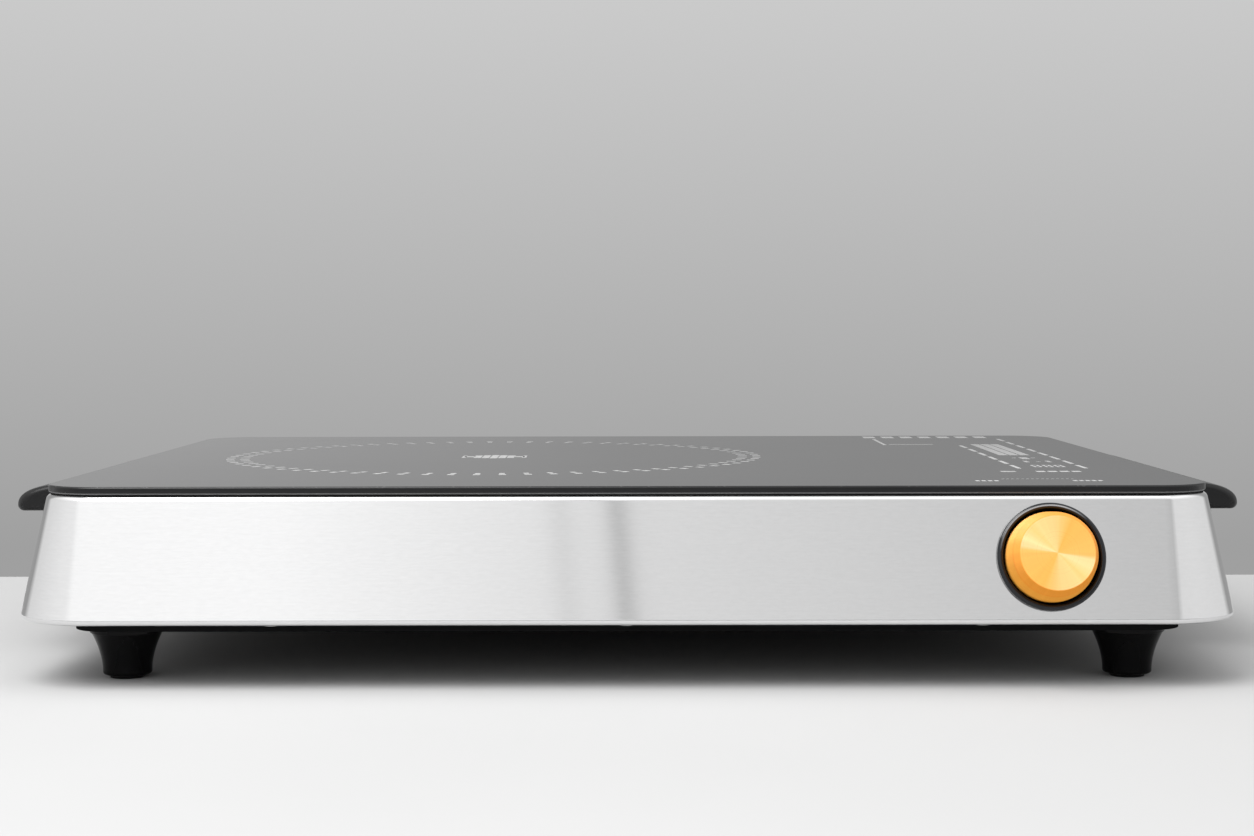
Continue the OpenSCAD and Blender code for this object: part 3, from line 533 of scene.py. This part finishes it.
def shell_section():
    """Closed section of the folded sheet as (distance out from the top outline, height)."""
    tilt = math.degrees(WALL_TILT)
    top, low = TOP_CENTRE, SKIRT_CENTRE
    inner_edge = WALL_FLARE - SKIRT_FLANGE
    section = [(-TOP_FLANGE, STEEL_TOP)]
    section += arc(top, TOP_BEND, 90, tilt, 8)
    section += arc(low, SKIRT_BEND, tilt, -90, 8)
    section += [(inner_edge, SKIRT_Z), (inner_edge, SKIRT_Z + SHEET)]
    section += arc(low, SKIRT_BEND - SHEET, -90, tilt, 5)
    section += arc(top, TOP_BEND - SHEET, tilt, 90, 5)
    section += [(-TOP_FLANGE, STEEL_TOP - SHEET)]
    return section


VENT_COLUMNS = 21
VENT_ROWS = (-1, 0, 1)
VENT_PITCH = 6 * MM
VENT_X = -20 * MM
VENT_Z = 41 * MM
VENT_RADIUS = 1.7 * MM
BARREL_RADIUS = 15.7 * MM
GLAND_HOLE_RADIUS = 6.55 * MM


def wall_holes():
    """Cutters for the exhaust holes, the knob barrel and the mains inlet."""
    depth = HALF_D - HALF_W
    back = Vector((0, math.cos(WALL_TILT), math.sin(WALL_TILT)))
    cutters = [cylinder_points(KNOB_CENTRE, KNOB_AXIS, BARREL_RADIUS, 5 * MM, 64),
               cylinder_points(GLAND_CENTRE, (0, 1, 0), GLAND_HOLE_RADIUS, 12 * MM, 48)]
    for column in range(VENT_COLUMNS):
        for row in VENT_ROWS:
            x = VENT_X + (column - (VENT_COLUMNS - 1) / 2) * VENT_PITCH
            z = VENT_Z + row * VENT_PITCH
            centre = (x, wall_w(z) + depth, z)
            cutters.append(cylinder_points(centre, back, VENT_RADIUS, 4 * MM, 24))
    return cutters


def make_housing():
    """The folded sheet swept round the corners, then cut for the holes."""
    section = shell_section()
    points = []
    for out, z in section:
        points += rounded_ring(HALF_W + out, HALF_D + out, SHELL_CORNER + out, z)
    columns = len(points) // len(section)
    shell = add_piece("steel_housing", points, grid_faces(len(section), columns, True), "housing",
                      "brushed_steel", ["housing_shell"], sharp=38)
    cut(shell, wall_holes())


INK_PROUD = 0.02 * MM
INK_DEPTH = 3 * INK_PROUD
GLASS_CORNER = 18 * MM
GRIND_ABOVE = 0.7 * MM
GRIND_BELOW = 0.6 * MM


def make_glass():
    """The plate, its edge ground round above and below."""
    top = GLASS_HIGH.z - INK_PROUD
    low = GLASS_LOW.z
    profile = arc((-GRIND_ABOVE, top - GRIND_ABOVE), GRIND_ABOVE, 90, 0, 5)
    profile += arc((-GRIND_BELOW, low + GRIND_BELOW), GRIND_BELOW, 0, -90, 6)
    points = []
    for out, z in profile:
        points += rounded_ring(GLASS_HIGH.x + out, GLASS_HIGH.y + out, GLASS_CORNER + out, z, 32)
    columns = len(points) // len(profile)
    faces = grid_faces(len(profile), columns, False)
    faces += [tuple(range(columns)), tuple(range(len(points) - columns, len(points)))]
    plate = add_piece("glass_plate", points, faces, "housing", "glass_top", ["glass_panel"],
                      sharp=50)
    plate.data.materials.append(GLASS_EDGE)
    plate.data.materials.append(GLASS_BEVEL_HIGHLIGHT)
    # downward faces, the lower grind among them, take the pale grey: a painted highlight
    for face in plate.data.polygons:
        face.material_index = 0 if face.normal.z > 0.5 else 2 if face.normal.z < -0.2 else 1


# ---------------------------------------------------------------- marks printed on the glass


def bar(x0, y0, x1, y1, width):
    """Four corners of a straight stroke."""
    along = Vector((x1 - x0, y1 - y0)).normalized()
    side = Vector((-along.y, along.x)) * width / 2
    ends = (Vector((x0, y0)), Vector((x1, y1)))
    return [ends[0] + side, ends[0] - side, ends[1] - side, ends[1] + side]


def disc(x, y, radius, steps=20):
    """Points round a dot."""
    return [Vector((x + radius * math.cos(TAU * i / steps), y + radius * math.sin(TAU * i / steps)))
            for i in range(steps)]


def print_marks(name, shapes, ink):
    """One thin layer of ink in the shape of flat polygons, given in metres."""
    high, low = GLASS_HIGH.z, GLASS_HIGH.z - INK_DEPTH
    points, faces = [], []
    for shape in shapes:
        first, count = len(points), len(shape)
        points += [(p.x, p.y, z) for z in (low, high) for p in shape]
        faces.append(tuple(range(first, first + count)))
        faces.append(tuple(range(first + count, first + 2 * count)))
        for i in range(count):
            j = (i + 1) % count
            faces.append((first + i, first + j, first + count + j, first + count + i))
    mark = add_piece(name, points, faces, "housing", "glass_top", sharp=30)
    mark.data.materials[0] = ink


ZONE_DASHES = 72
# inner radius, outer radius and width of the two dashes of each mark
ZONE_RINGS = ((97 * MM, 100 * MM, 2.4 * MM), (91.5 * MM, 95 * MM, 1.8 * MM))


def zone_marks():
    """The dashed double ring round the cooking zone."""
    shapes = []
    for i in range(ZONE_DASHES):
        way = Vector((math.cos(TAU * i / ZONE_DASHES), math.sin(TAU * i / ZONE_DASHES)))
        for inner, outer, width in ZONE_RINGS:
            start, end = ZONE_CENTRE.xy + way * inner, ZONE_CENTRE.xy + way * outer
            shapes.append(bar(*start, *end, width))
    return shapes


def coil_symbol():
    """A row of tall strokes between two bars, a plain sign for a coil."""
    shapes = []
    x, y = ZONE_CENTRE.xy
    y -= 3 * MM
    for loop in range(5):
        height = (9.5 - 1.2 * abs(loop - 2)) * MM
        middle = x + (loop - 2) * 3.1 * MM
        shapes.append(bar(middle, y - height, middle, y + height, 2.7 * MM))
    for side in (-1, 1):
        end = x + side * 11.3 * MM
        shapes.append(bar(end, y - 6 * MM, end, y + 6 * MM, 1.5 * MM))
        shapes.append(bar(end, y, x + side * 7.4 * MM, y, 5 * MM))
    return shapes


# the print of the touch panel, laid out from the edges of the glass
PANEL_RIGHT = GLASS_HIGH.x - 25 * MM
PANEL_LEFT = PANEL_RIGHT - 23 * MM
PANEL_FRONT = GLASS_LOW.y + 77 * MM
LABEL_ROW = PANEL_FRONT - 15 * MM
KEY_ROW = PANEL_FRONT + 55 * MM
DISPLAY_FRONT = PANEL_FRONT + 73 * MM
FRONT_ROW = GLASS_LOW.y + 20 * MM
REAR_ROW = GLASS_HIGH.y - 14 * MM
REAR_ROW_LEFT = PANEL_RIGHT - 56 * MM
# spacing of the figures, the fine strokes, the rear keys and the frame's dashes
FIGURE_PITCH, STROKE_PITCH, KEY_PITCH, DASH_PITCH = 4 * MM, 2 * MM, 8 * MM, 24 * MM


def column(x, start, count, width):
    """A broken line that runs back over the glass."""
    dash = 0.7 * DASH_PITCH
    return [bar(x, start + i * DASH_PITCH, x, start + i * DASH_PITCH + dash, width)
            for i in range(count)]


def row(left, y, count, pitch, length, height):
    """Equal blocks side by side, evenly spaced."""
    return [bar(left + i * pitch, y, left + i * pitch + length, y, height) for i in range(count)]


def digit(x, y, width, height):
    """A segment figure eight."""
    strokes = [(0, 0, 0, 1), (1, 0, 1, 1), (0, 0, 1, 0), (0, 0.5, 1, 0.5), (0, 1, 1, 1)]
    return [bar(x + a * width, y + b * height, x + c * width, y + d * height, 0.8 * MM)
            for a, b, c, d in strokes]


def panel_marks():
    """Frame, figures and keys of the touch panel; every sign is a plain shape."""
    shapes = column(PANEL_LEFT, PANEL_FRONT, 6, 1.5 * MM)
    shapes += column(PANEL_RIGHT, PANEL_FRONT, 8, 1.5 * MM)
    for i in range(3):
        shapes += digit(PANEL_LEFT + 7 * MM + i * FIGURE_PITCH, PANEL_FRONT + 7 * MM, 2 * MM, 10 * MM)
    shapes += row(PANEL_LEFT + 3 * MM, LABEL_ROW, 4, FIGURE_PITCH, 3 * MM, 4.5 * MM)
    shapes += row(PANEL_LEFT - 24 * MM, FRONT_ROW, 4, STROKE_PITCH, 1.3 * MM, 3.4 * MM)
    shapes += row(PANEL_LEFT + 7 * MM, FRONT_ROW, 5, STROKE_PITCH, 1.3 * MM, 3.4 * MM)
    shapes += row(REAR_ROW_LEFT, REAR_ROW, 7, KEY_PITCH, 5 * MM, 12 * MM)
    for i in range(2):
        shapes.append(disc(PANEL_LEFT + 8 * MM + i * 7 * MM, KEY_ROW + 2 * MM, 0.9 * MM))
    tick = REAR_ROW_LEFT + 3 * MM
    shapes.append(bar(tick, REAR_ROW - 58 * MM, tick, REAR_ROW - 14 * MM, 1.3 * MM))
    return shapes


def key_marks():
    """Dimmer marks: the display patch, the keys before it and the scale of dots."""
    shapes = []
    for i in range(3):
        x = PANEL_LEFT + 7 * MM + i * FIGURE_PITCH
        shapes.append(bar(x, DISPLAY_FRONT, x, DISPLAY_FRONT + 73 * MM, 3.4 * MM))
    shapes += row(PANEL_LEFT + 10 * MM, KEY_ROW, 1, KEY_PITCH, 3 * MM, 10 * MM)
    shapes += row(PANEL_LEFT + 8 * MM, KEY_ROW - 19 * MM, 2, KEY_PITCH, 1.5 * MM, 8 * MM)
    shapes += row(PANEL_LEFT - 9 * MM, LABEL_ROW, 1, KEY_PITCH, 5 * MM, 4.5 * MM)
    shapes += row(PANEL_LEFT - 28 * MM, REAR_ROW - 54 * MM, 1, KEY_PITCH, 18 * MM, 3 * MM)
    shapes.append(disc(PANEL_LEFT + 13 * MM, KEY_ROW - 20 * MM, 0.9 * MM))
    for i in range(15):
        shapes.append(disc(PANEL_LEFT - 14 * MM + i * 1.6 * MM, FRONT_ROW + 8 * MM, 0.5 * MM, 10))
    return shapes


# ---------------------------------------------------------------- knob, bezel, feet, handles


def knob_place():
    """Local Z along the knob's axis, local Y up the wall."""
    turn = Matrix((KNOB_RIGHT, KNOB_UP, KNOB_AXIS)).transposed().to_4x4()
    return Matrix.Translation(KNOB_CENTRE) @ turn


KNOB_RADIUS = 14 * MM
KNOB_FACE_RADIUS = 11.48 * MM
KNOB_SIDE_RADIUS = 12.67 * MM
KNOB_BASE = -1.4 * MM
KNOB_CAVITY_RADIUS = 9 * MM
KNOB_CAVITY_TOP = 7.6 * MM
# the shoulder and the rim of the face: out from the side's or the face's radius, back from the face
KNOB_SHOULDER = [(0.32, 3.5), (0.2, 3.05), (-0.05, 2.7)]
KNOB_RIM = [(0.2, 0.28), (0.09, 0.09), (-0.1, 0)]


def make_knob():
    """A tapered cap, hollow behind, with a shoulder and a spun face."""
    edge, root_edge = 0.25 * MM, 0.5 * MM
    outline = [(0, KNOB_CAVITY_TOP), (KNOB_CAVITY_RADIUS, KNOB_CAVITY_TOP),
               (KNOB_CAVITY_RADIUS, KNOB_BASE)]
    outline += arc((KNOB_RADIUS - edge, KNOB_BASE + edge), edge, -90, 0, 3)
    outline += arc((KNOB_RADIUS - root_edge, root_edge), root_edge, 0, 10, 2)
    outline += [(KNOB_SIDE_RADIUS + out * MM, KNOB_REACH - back * MM) for out, back in KNOB_SHOULDER]
    outline += [(KNOB_FACE_RADIUS + out * MM, KNOB_REACH - back * MM) for out, back in KNOB_RIM]
    outline += [(0, KNOB_REACH)]
    knob = lathe("gold_knob", outline, "knob", "gold_anodised", ["knob_cap"], knob_place(),
                 steps=128, sharp=24)
    knob.data.materials.append(GOLD_FACE)
    for face in knob.data.polygons:
        if face.center.dot(KNOB_AXIS) > KNOB_REACH - 0.02 * MM:
            face.material_index = 1


BEZEL_OUTER = 16.75 * MM
BEZEL_INNER = 14.75 * MM
BEZEL_BARREL = 15.65 * MM
BEZEL_PROUD = 2 * MM
BEZEL_FLOOR = -4 * MM
BEZEL_FLOOR_THICK = 1.4 * MM
BEZEL_BORE = 3.6 * MM
# the ring's underside stands clear of the wall, and the inner side is matt and darker up to here, a painted shade
# of the gap round the knob
BEZEL_SEAT = 0.05 * MM
BEZEL_EDGE = 0.1 * MM
BEZEL_MATT = 0.3 * MM


def make_bezel():
    """A round-topped ring with a floor behind the knob."""
    lip = (BEZEL_OUTER - BEZEL_INNER) / 2
    inside = BEZEL_FLOOR + BEZEL_FLOOR_THICK
    outline = [(BEZEL_BORE, BEZEL_FLOOR), (BEZEL_BARREL, BEZEL_FLOOR), (BEZEL_BARREL, BEZEL_SEAT),
               (BEZEL_OUTER - BEZEL_EDGE, BEZEL_SEAT), (BEZEL_OUTER, BEZEL_SEAT + BEZEL_EDGE)]
    outline += arc((BEZEL_OUTER - lip, BEZEL_PROUD - lip), lip, 0, 180, 20)
    outline += [(BEZEL_INNER, inside), (BEZEL_BORE, inside)]
    ring = lathe("knob_ring", outline, "housing", "bezel_plastic", ["knob_bezel"], knob_place(),
                 steps=128)
    # the inner side takes the darker matt black: painted shade of the gap round the knob
    ring.data.materials.append(BEZEL_GAP_SHADE)
    for face in ring.data.polygons:
        out = face.center - KNOB_AXIS * face.center.dot(KNOB_AXIS)
        face.material_index = 1 if out.length < BEZEL_INNER + BEZEL_MATT else 0


FOOT_LOW = 2.4 * MM
FOOT_LOW_SHARE = 0.66
FOOT_COLLAR = 1.7 * MM
FOOT_FLARE = 1.8
# hollows of a foot: its pad below, its screw and the screw's head
PAD_RADIUS, PAD_TOP = 5.5 * MM, 2.2 * MM
SCREW_RADIUS, HEAD_RADIUS, HEAD_SEAT = 2.1 * MM, 4.1 * MM, 6 * MM


def foot_outline(height, top_radius):
    """Waisted foot, hollow round its pad and screw, with a collar under the pan."""
    low = top_radius * FOOT_LOW_SHARE
    collar = height - FOOT_COLLAR
    neck = top_radius - 0.5 * MM
    outline = [(PAD_RADIUS, PAD_TOP), (PAD_RADIUS, 0.95 * MM), (PAD_RADIUS + 0.15 * MM, 0.8 * MM)]
    outline += arc((low - 0.9 * MM, 1.9 * MM), 0.9 * MM, -80, 0, 5)
    for i in range(25):
        u = i / 24
        outline.append((low + (neck - low) * u ** FOOT_FLARE, FOOT_LOW + (collar - FOOT_LOW) * u))
    outline += arc((top_radius - 0.3 * MM, collar + 0.3 * MM), 0.3 * MM, -80, 0, 4)
    outline += arc((top_radius - 0.3 * MM, height - 0.3 * MM), 0.3 * MM, 0, 90, 4)
    outline += [(SCREW_RADIUS, height), (SCREW_RADIUS, HEAD_SEAT), (HEAD_RADIUS, HEAD_SEAT),
                (HEAD_RADIUS, PAD_TOP)]
    return outline


def make_feet():
    """Four feet, each where its CAD node stands."""
    for side in ("front_left", "front_right", "rear_left", "rear_right"):
        low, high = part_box("foot_" + side)
        centre = Matrix.Translation(((low.x + high.x) / 2, (low.y + high.y) / 2, 0))
        lathe("leg_" + side, foot_outline(high.z, (high.x - low.x) / 2), "housing", "foot_plastic",
              ["foot_" + side], centre, steps=72, sharp=40)


HANDLE_NOSE_Z = 51.5 * MM
HANDLE_NOSE = 1.8 * MM
HANDLE_CROWN_X = 190 * MM
CROWN_POWER = 2.3
HANDLE_END = 4.5 * MM
HANDLE_FILLET = 1.6 * MM
HANDLE_GAP = 0.1 * MM


def handle_section(low, high):
    """Section of a handle as (place out, height), from its lower root round."""
    reach = high.x
    rise = high.z - HANDLE_NOSE_Z
    points = [(wall_w(low.z) + HANDLE_GAP, low.z)]
    points += [(wall_w(low.z) + (reach - HANDLE_NOSE - wall_w(low.z)) * u, low.z)
               for u in (0.2, 0.5, 0.8)]
    points += arc((reach - HANDLE_NOSE, low.z + HANDLE_NOSE), HANDLE_NOSE, -90, 0, 7)
    for i in range(21):
        u = math.cos(math.radians(90 * i / 20))
        z = HANDLE_NOSE_Z + rise * (1 - u ** CROWN_POWER) ** (1 / CROWN_POWER)
        points.append((HANDLE_CROWN_X + (reach - HANDLE_CROWN_X) * u, z))
    points.append((wall_w(high.z) + HANDLE_GAP, high.z))
    return points


def inset(distance, radius):
    """How far a corner of a radius draws in, at a distance from the end."""
    short = max(radius - distance, 0)
    return radius - math.sqrt(radius ** 2 - short ** 2)


def make_handle(name, node, side):
    """A bar with a domed top, a flat underside and blunt, softly rounded ends."""
    low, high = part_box("handle_right")
    section = handle_section(low, high)
    middle = (low.z + high.z) / 2
    from_end = [HANDLE_END * (1 - math.cos(math.radians(a))) for a in range(0, 91, 6)]
    stations = [(-1, d) for d in from_end] + [(1, d) for d in reversed(from_end)]
    points = []
    for end, distance in stations:
        draw = inset(distance, HANDLE_END)
        squeeze = 1 - 2 * inset(distance, HANDLE_FILLET) / (high.z - low.z)
        for x, z in section:
            height = middle + (z - middle) * squeeze
            root = wall_w(height) + HANDLE_GAP
            share = (high.x - draw - root) / (high.x - root)
            points.append((side * (root + max(x - root, 0) * share), end * (high.y - distance), height))
    columns = len(section)
    faces = grid_faces(len(stations), columns, False)
    faces += [tuple(range(columns)), tuple(range(len(points) - columns, len(points)))]
    add_piece(name, points, faces, "housing", "handle_plastic", [node], sharp=40)


# ---------------------------------------------------------------- CAD nodes that keep their shape


def dress_cad_nodes():
    """Gives every remaining CAD node the material of its slot."""
    slots = {part["node"]: part["material_slot"] for part in frame["record"]["subparts"]}
    for node, piece in frame["nodes"].items():
        material = MATERIALS[slots[node]]
        piece.data.materials.clear()
        piece.data.materials.append(material)


# ---------------------------------------------------------------- stage


FLOOR_BACK = 0.15


def make_floor():
    """A pale table whose rear edge lies just behind the cooktop."""
    shader = Shader("pale_floor", (0.8, 0.8, 0.8), 0, 0.3, Specular_IOR_Level=0.0)
    place = shader.add("SeparateXYZ", {"Vector": shader.coordinates.outputs["Object"]})
    # slightly darker towards the back, near the cooktop: painted shade
    depth = shader.ramp(place.outputs[1], -0.5, FLOOR_BACK,
                        [(-0.45, 0.49), (-0.2, 0.48), (0.14, 0.46)])
    lighter = shader.mix(shader.noise(5, 6), depth, (0.7, 0.7, 0.7))
    shader.feed("Base Color", shader.mix(0.15, depth, lighter))
    shader.feed("Roughness", shader.span(shader.noise(12, 4), 0.2, 0.3))
    mesh = bpy.data.meshes.new("floor")
    half, front, thick = 3.0, -2.4, 0.03
    corners = [(-half, front), (half, front), (half, FLOOR_BACK), (-half, FLOOR_BACK)]
    points = [(x, y, z) for z in (-thick, 0) for x, y in corners]
    faces = [(3, 2, 1, 0), (4, 5, 6, 7), (0, 1, 5, 4), (1, 2, 6, 5), (2, 3, 7, 6), (3, 0, 4, 7)]
    mesh.from_pydata(points, [], faces)
    floor = bpy.data.objects.new("floor", mesh)
    floor.data.materials.append(shader.material)
    bpy.context.scene.collection.objects.link(floor)


# soft light in front, a strong lamp on the left and a weaker one on the right:
# degrees from straight ahead, brightness
FRONT_LIGHT = [(-110, 0.9), (-45, 1), (-35, 1.15), (-10, 1.15), (0, 0.85), (15, 0.65), (28, 0.6),
               (35, 0.85), (110, 0.9)]
# two thin stands between the lamps: degrees from straight ahead, half width, light let through
STANDS = [(-2, 0.5, 0.85), (-0.4, 0.4, 0.5)]
# how the stands lean: degrees for each unit of the sine of the height angle, from a height
STAND_LEAN = 6
STAND_HEIGHT = 0.34
# how the front light goes on round the sides: degrees, share
SIDE_FADE = [(-180, 0.4), (-130, 0.4), (-116, 0.9), (-60, 1), (60, 1), (116, 0.9), (130, 0.4),
             (180, 0.4)]
# the plain wall behind: sine of the height angle, brightness
WALL = [(-0.1, 0.35), (0, 0.45), (0.15, 0.6), (0.4, 0.65)]
OVERHEAD = 1
# colours are kept within 0..1, so the world's strength makes up the rest
WORLD_STRENGTH = 2
# the front is dark close to the table: sine of the height angle, share of light
LOW_FRONT = [(0.0, 0.1), (0.13, 1)]
# and brighter higher up: sine of the height angle, extra share of light
HIGH_FRONT = [(0.37, 0), (0.58, 0.2), (0.75, 0.5)]
# the darkness close to the table is straight ahead only: degrees, share of the light let through
FRONT_ONLY = [(-70, 1), (-40, 0), (40, 0), (70, 1)]


def stand_shadows():
    """Light let through across the stands, as stops of (degrees, share)."""
    stops = []
    for middle, half, share in STANDS:
        stops += [(middle - half, 1), (middle, share), (middle + half, 1)]
    return stops


def make_world():
    """A studio: lights in front, a grey wall behind, brighter overhead."""
    world = bpy.data.worlds.new("studio")
    bpy.context.scene.world = world
    world.use_nodes = True
    nodes = Nodes(world.node_tree)
    way = nodes.add("TexCoord").outputs["Generated"]
    x, y, z = nodes.add("SeparateXYZ", {0: way}).outputs
    angle = nodes.math("ARCTAN2", x, nodes.math("MULTIPLY", y, -1))
    degrees = nodes.math("MULTIPLY", angle, 180 / math.pi)

    front = nodes.ramp(degrees, -112, 112,
                       [(a, tone / WORLD_STRENGTH) for a, tone in FRONT_LIGHT])
    rise = nodes.math("SUBTRACT", z, STAND_HEIGHT)
    lean = nodes.math("ADD", degrees, nodes.math("MULTIPLY", rise, STAND_LEAN))
    lift = nodes.ramp(z, -1, 1, HIGH_FRONT)
    low = nodes.mix(nodes.ramp(degrees, -180, 180, FRONT_ONLY), nodes.ramp(z, -1, 1, LOW_FRONT),
                    (1, 1, 1))
    for share in (nodes.ramp(lean, -3, 1, stand_shadows()),
                  nodes.ramp(degrees, -180, 180, SIDE_FADE), nodes.math("ADD", lift, 1), low):
        front = nodes.math("MULTIPLY", front, share)

    wall = nodes.ramp(z, -0.2, 0.4, [(v, tone / WORLD_STRENGTH) for v, tone in WALL])
    behind = nodes.ramp(y, -1, 1, [(0.86, 0), (0.94, 1)])
    above = nodes.ramp(z, -1, 1, [(0.8, 0), (0.95, 1)])
    overhead = (OVERHEAD / WORLD_STRENGTH,) * 3
    background = nodes.tree.nodes["Background"]
    background.inputs["Strength"].default_value = WORLD_STRENGTH
    nodes.put(background.inputs["Color"],
              nodes.mix(above, nodes.mix(behind, front, wall), overhead))


# soft lights: name, place, target, width and height in metres, power in watts
LIGHTS = [("overhead", (0, -0.7, 1.5), (0, -0.1, 0), 1.6, 1.0, 3),
          ("upper_left", (-0.4, -0.62, 1.0), KNOB_CENTRE, 0.8, 0.8, 12)]


def area_light(name, place, target, width, height, power):
    light = bpy.data.lights.new(name, "AREA")
    light.shape, light.size, light.size_y, light.energy = "RECTANGLE", width, height, power
    holder = bpy.data.objects.new(name, light)
    holder.location = place
    holder.rotation_euler = (Vector(target) - Vector(place)).to_track_quat("-Z", "Y").to_euler()
    bpy.context.scene.collection.objects.link(holder)


# camera: lens in mm on a 36 mm sensor, place relative to the glass, turns in radians
LENS = 62.716
CAMERA_BACK = 673.54 * MM
CAMERA_UP = 51.39 * MM
CAMERA_SIDE = 2.47 * MM
CAMERA_YAW = -0.00327
CAMERA_PITCH = 0.04497
CAMERA_ROLL = -0.00211


def make_camera():
    """The camera at the photograph's angle."""
    data = bpy.data.cameras.new("camera")
    data.sensor_width, data.lens = 36, LENS
    data.clip_start, data.clip_end = 0.01, 50
    camera = bpy.data.objects.new("camera", data)
    ahead = Vector((math.sin(CAMERA_YAW) * math.cos(CAMERA_PITCH),
                    math.cos(CAMERA_YAW) * math.cos(CAMERA_PITCH), -math.sin(CAMERA_PITCH)))
    level = Vector((math.cos(CAMERA_YAW), -math.sin(CAMERA_YAW), 0))
    above = level.cross(ahead)
    right = math.cos(CAMERA_ROLL) * level + math.sin(CAMERA_ROLL) * above
    up = -math.sin(CAMERA_ROLL) * level + math.cos(CAMERA_ROLL) * above
    place = Matrix((right, up, -ahead)).transposed().to_4x4()
    place.translation = (CAMERA_SIDE, GLASS_LOW.y - CAMERA_BACK, GLASS_HIGH.z + CAMERA_UP)
    camera.matrix_world = place
    bpy.context.scene.collection.objects.link(camera)
    bpy.context.scene.camera = camera
    bpy.context.scene.view_settings.view_transform = "Standard"


# ---------------------------------------------------------------- build

make_camera()
make_world()
make_floor()
for lamp in LIGHTS:
    area_light(*lamp)
dress_cad_nodes()
make_housing()
make_glass()
print_marks("zone_print", zone_marks(), INK)
print_marks("coil_print", coil_symbol(), INK)
print_marks("panel_print", panel_marks(), INK)
print_marks("panel_print_dim", key_marks(), INK_DIM)
make_knob()
make_bezel()
make_feet()
make_handle("grip_right", "handle_right", 1)
make_handle("grip_left", "handle_left", -1)
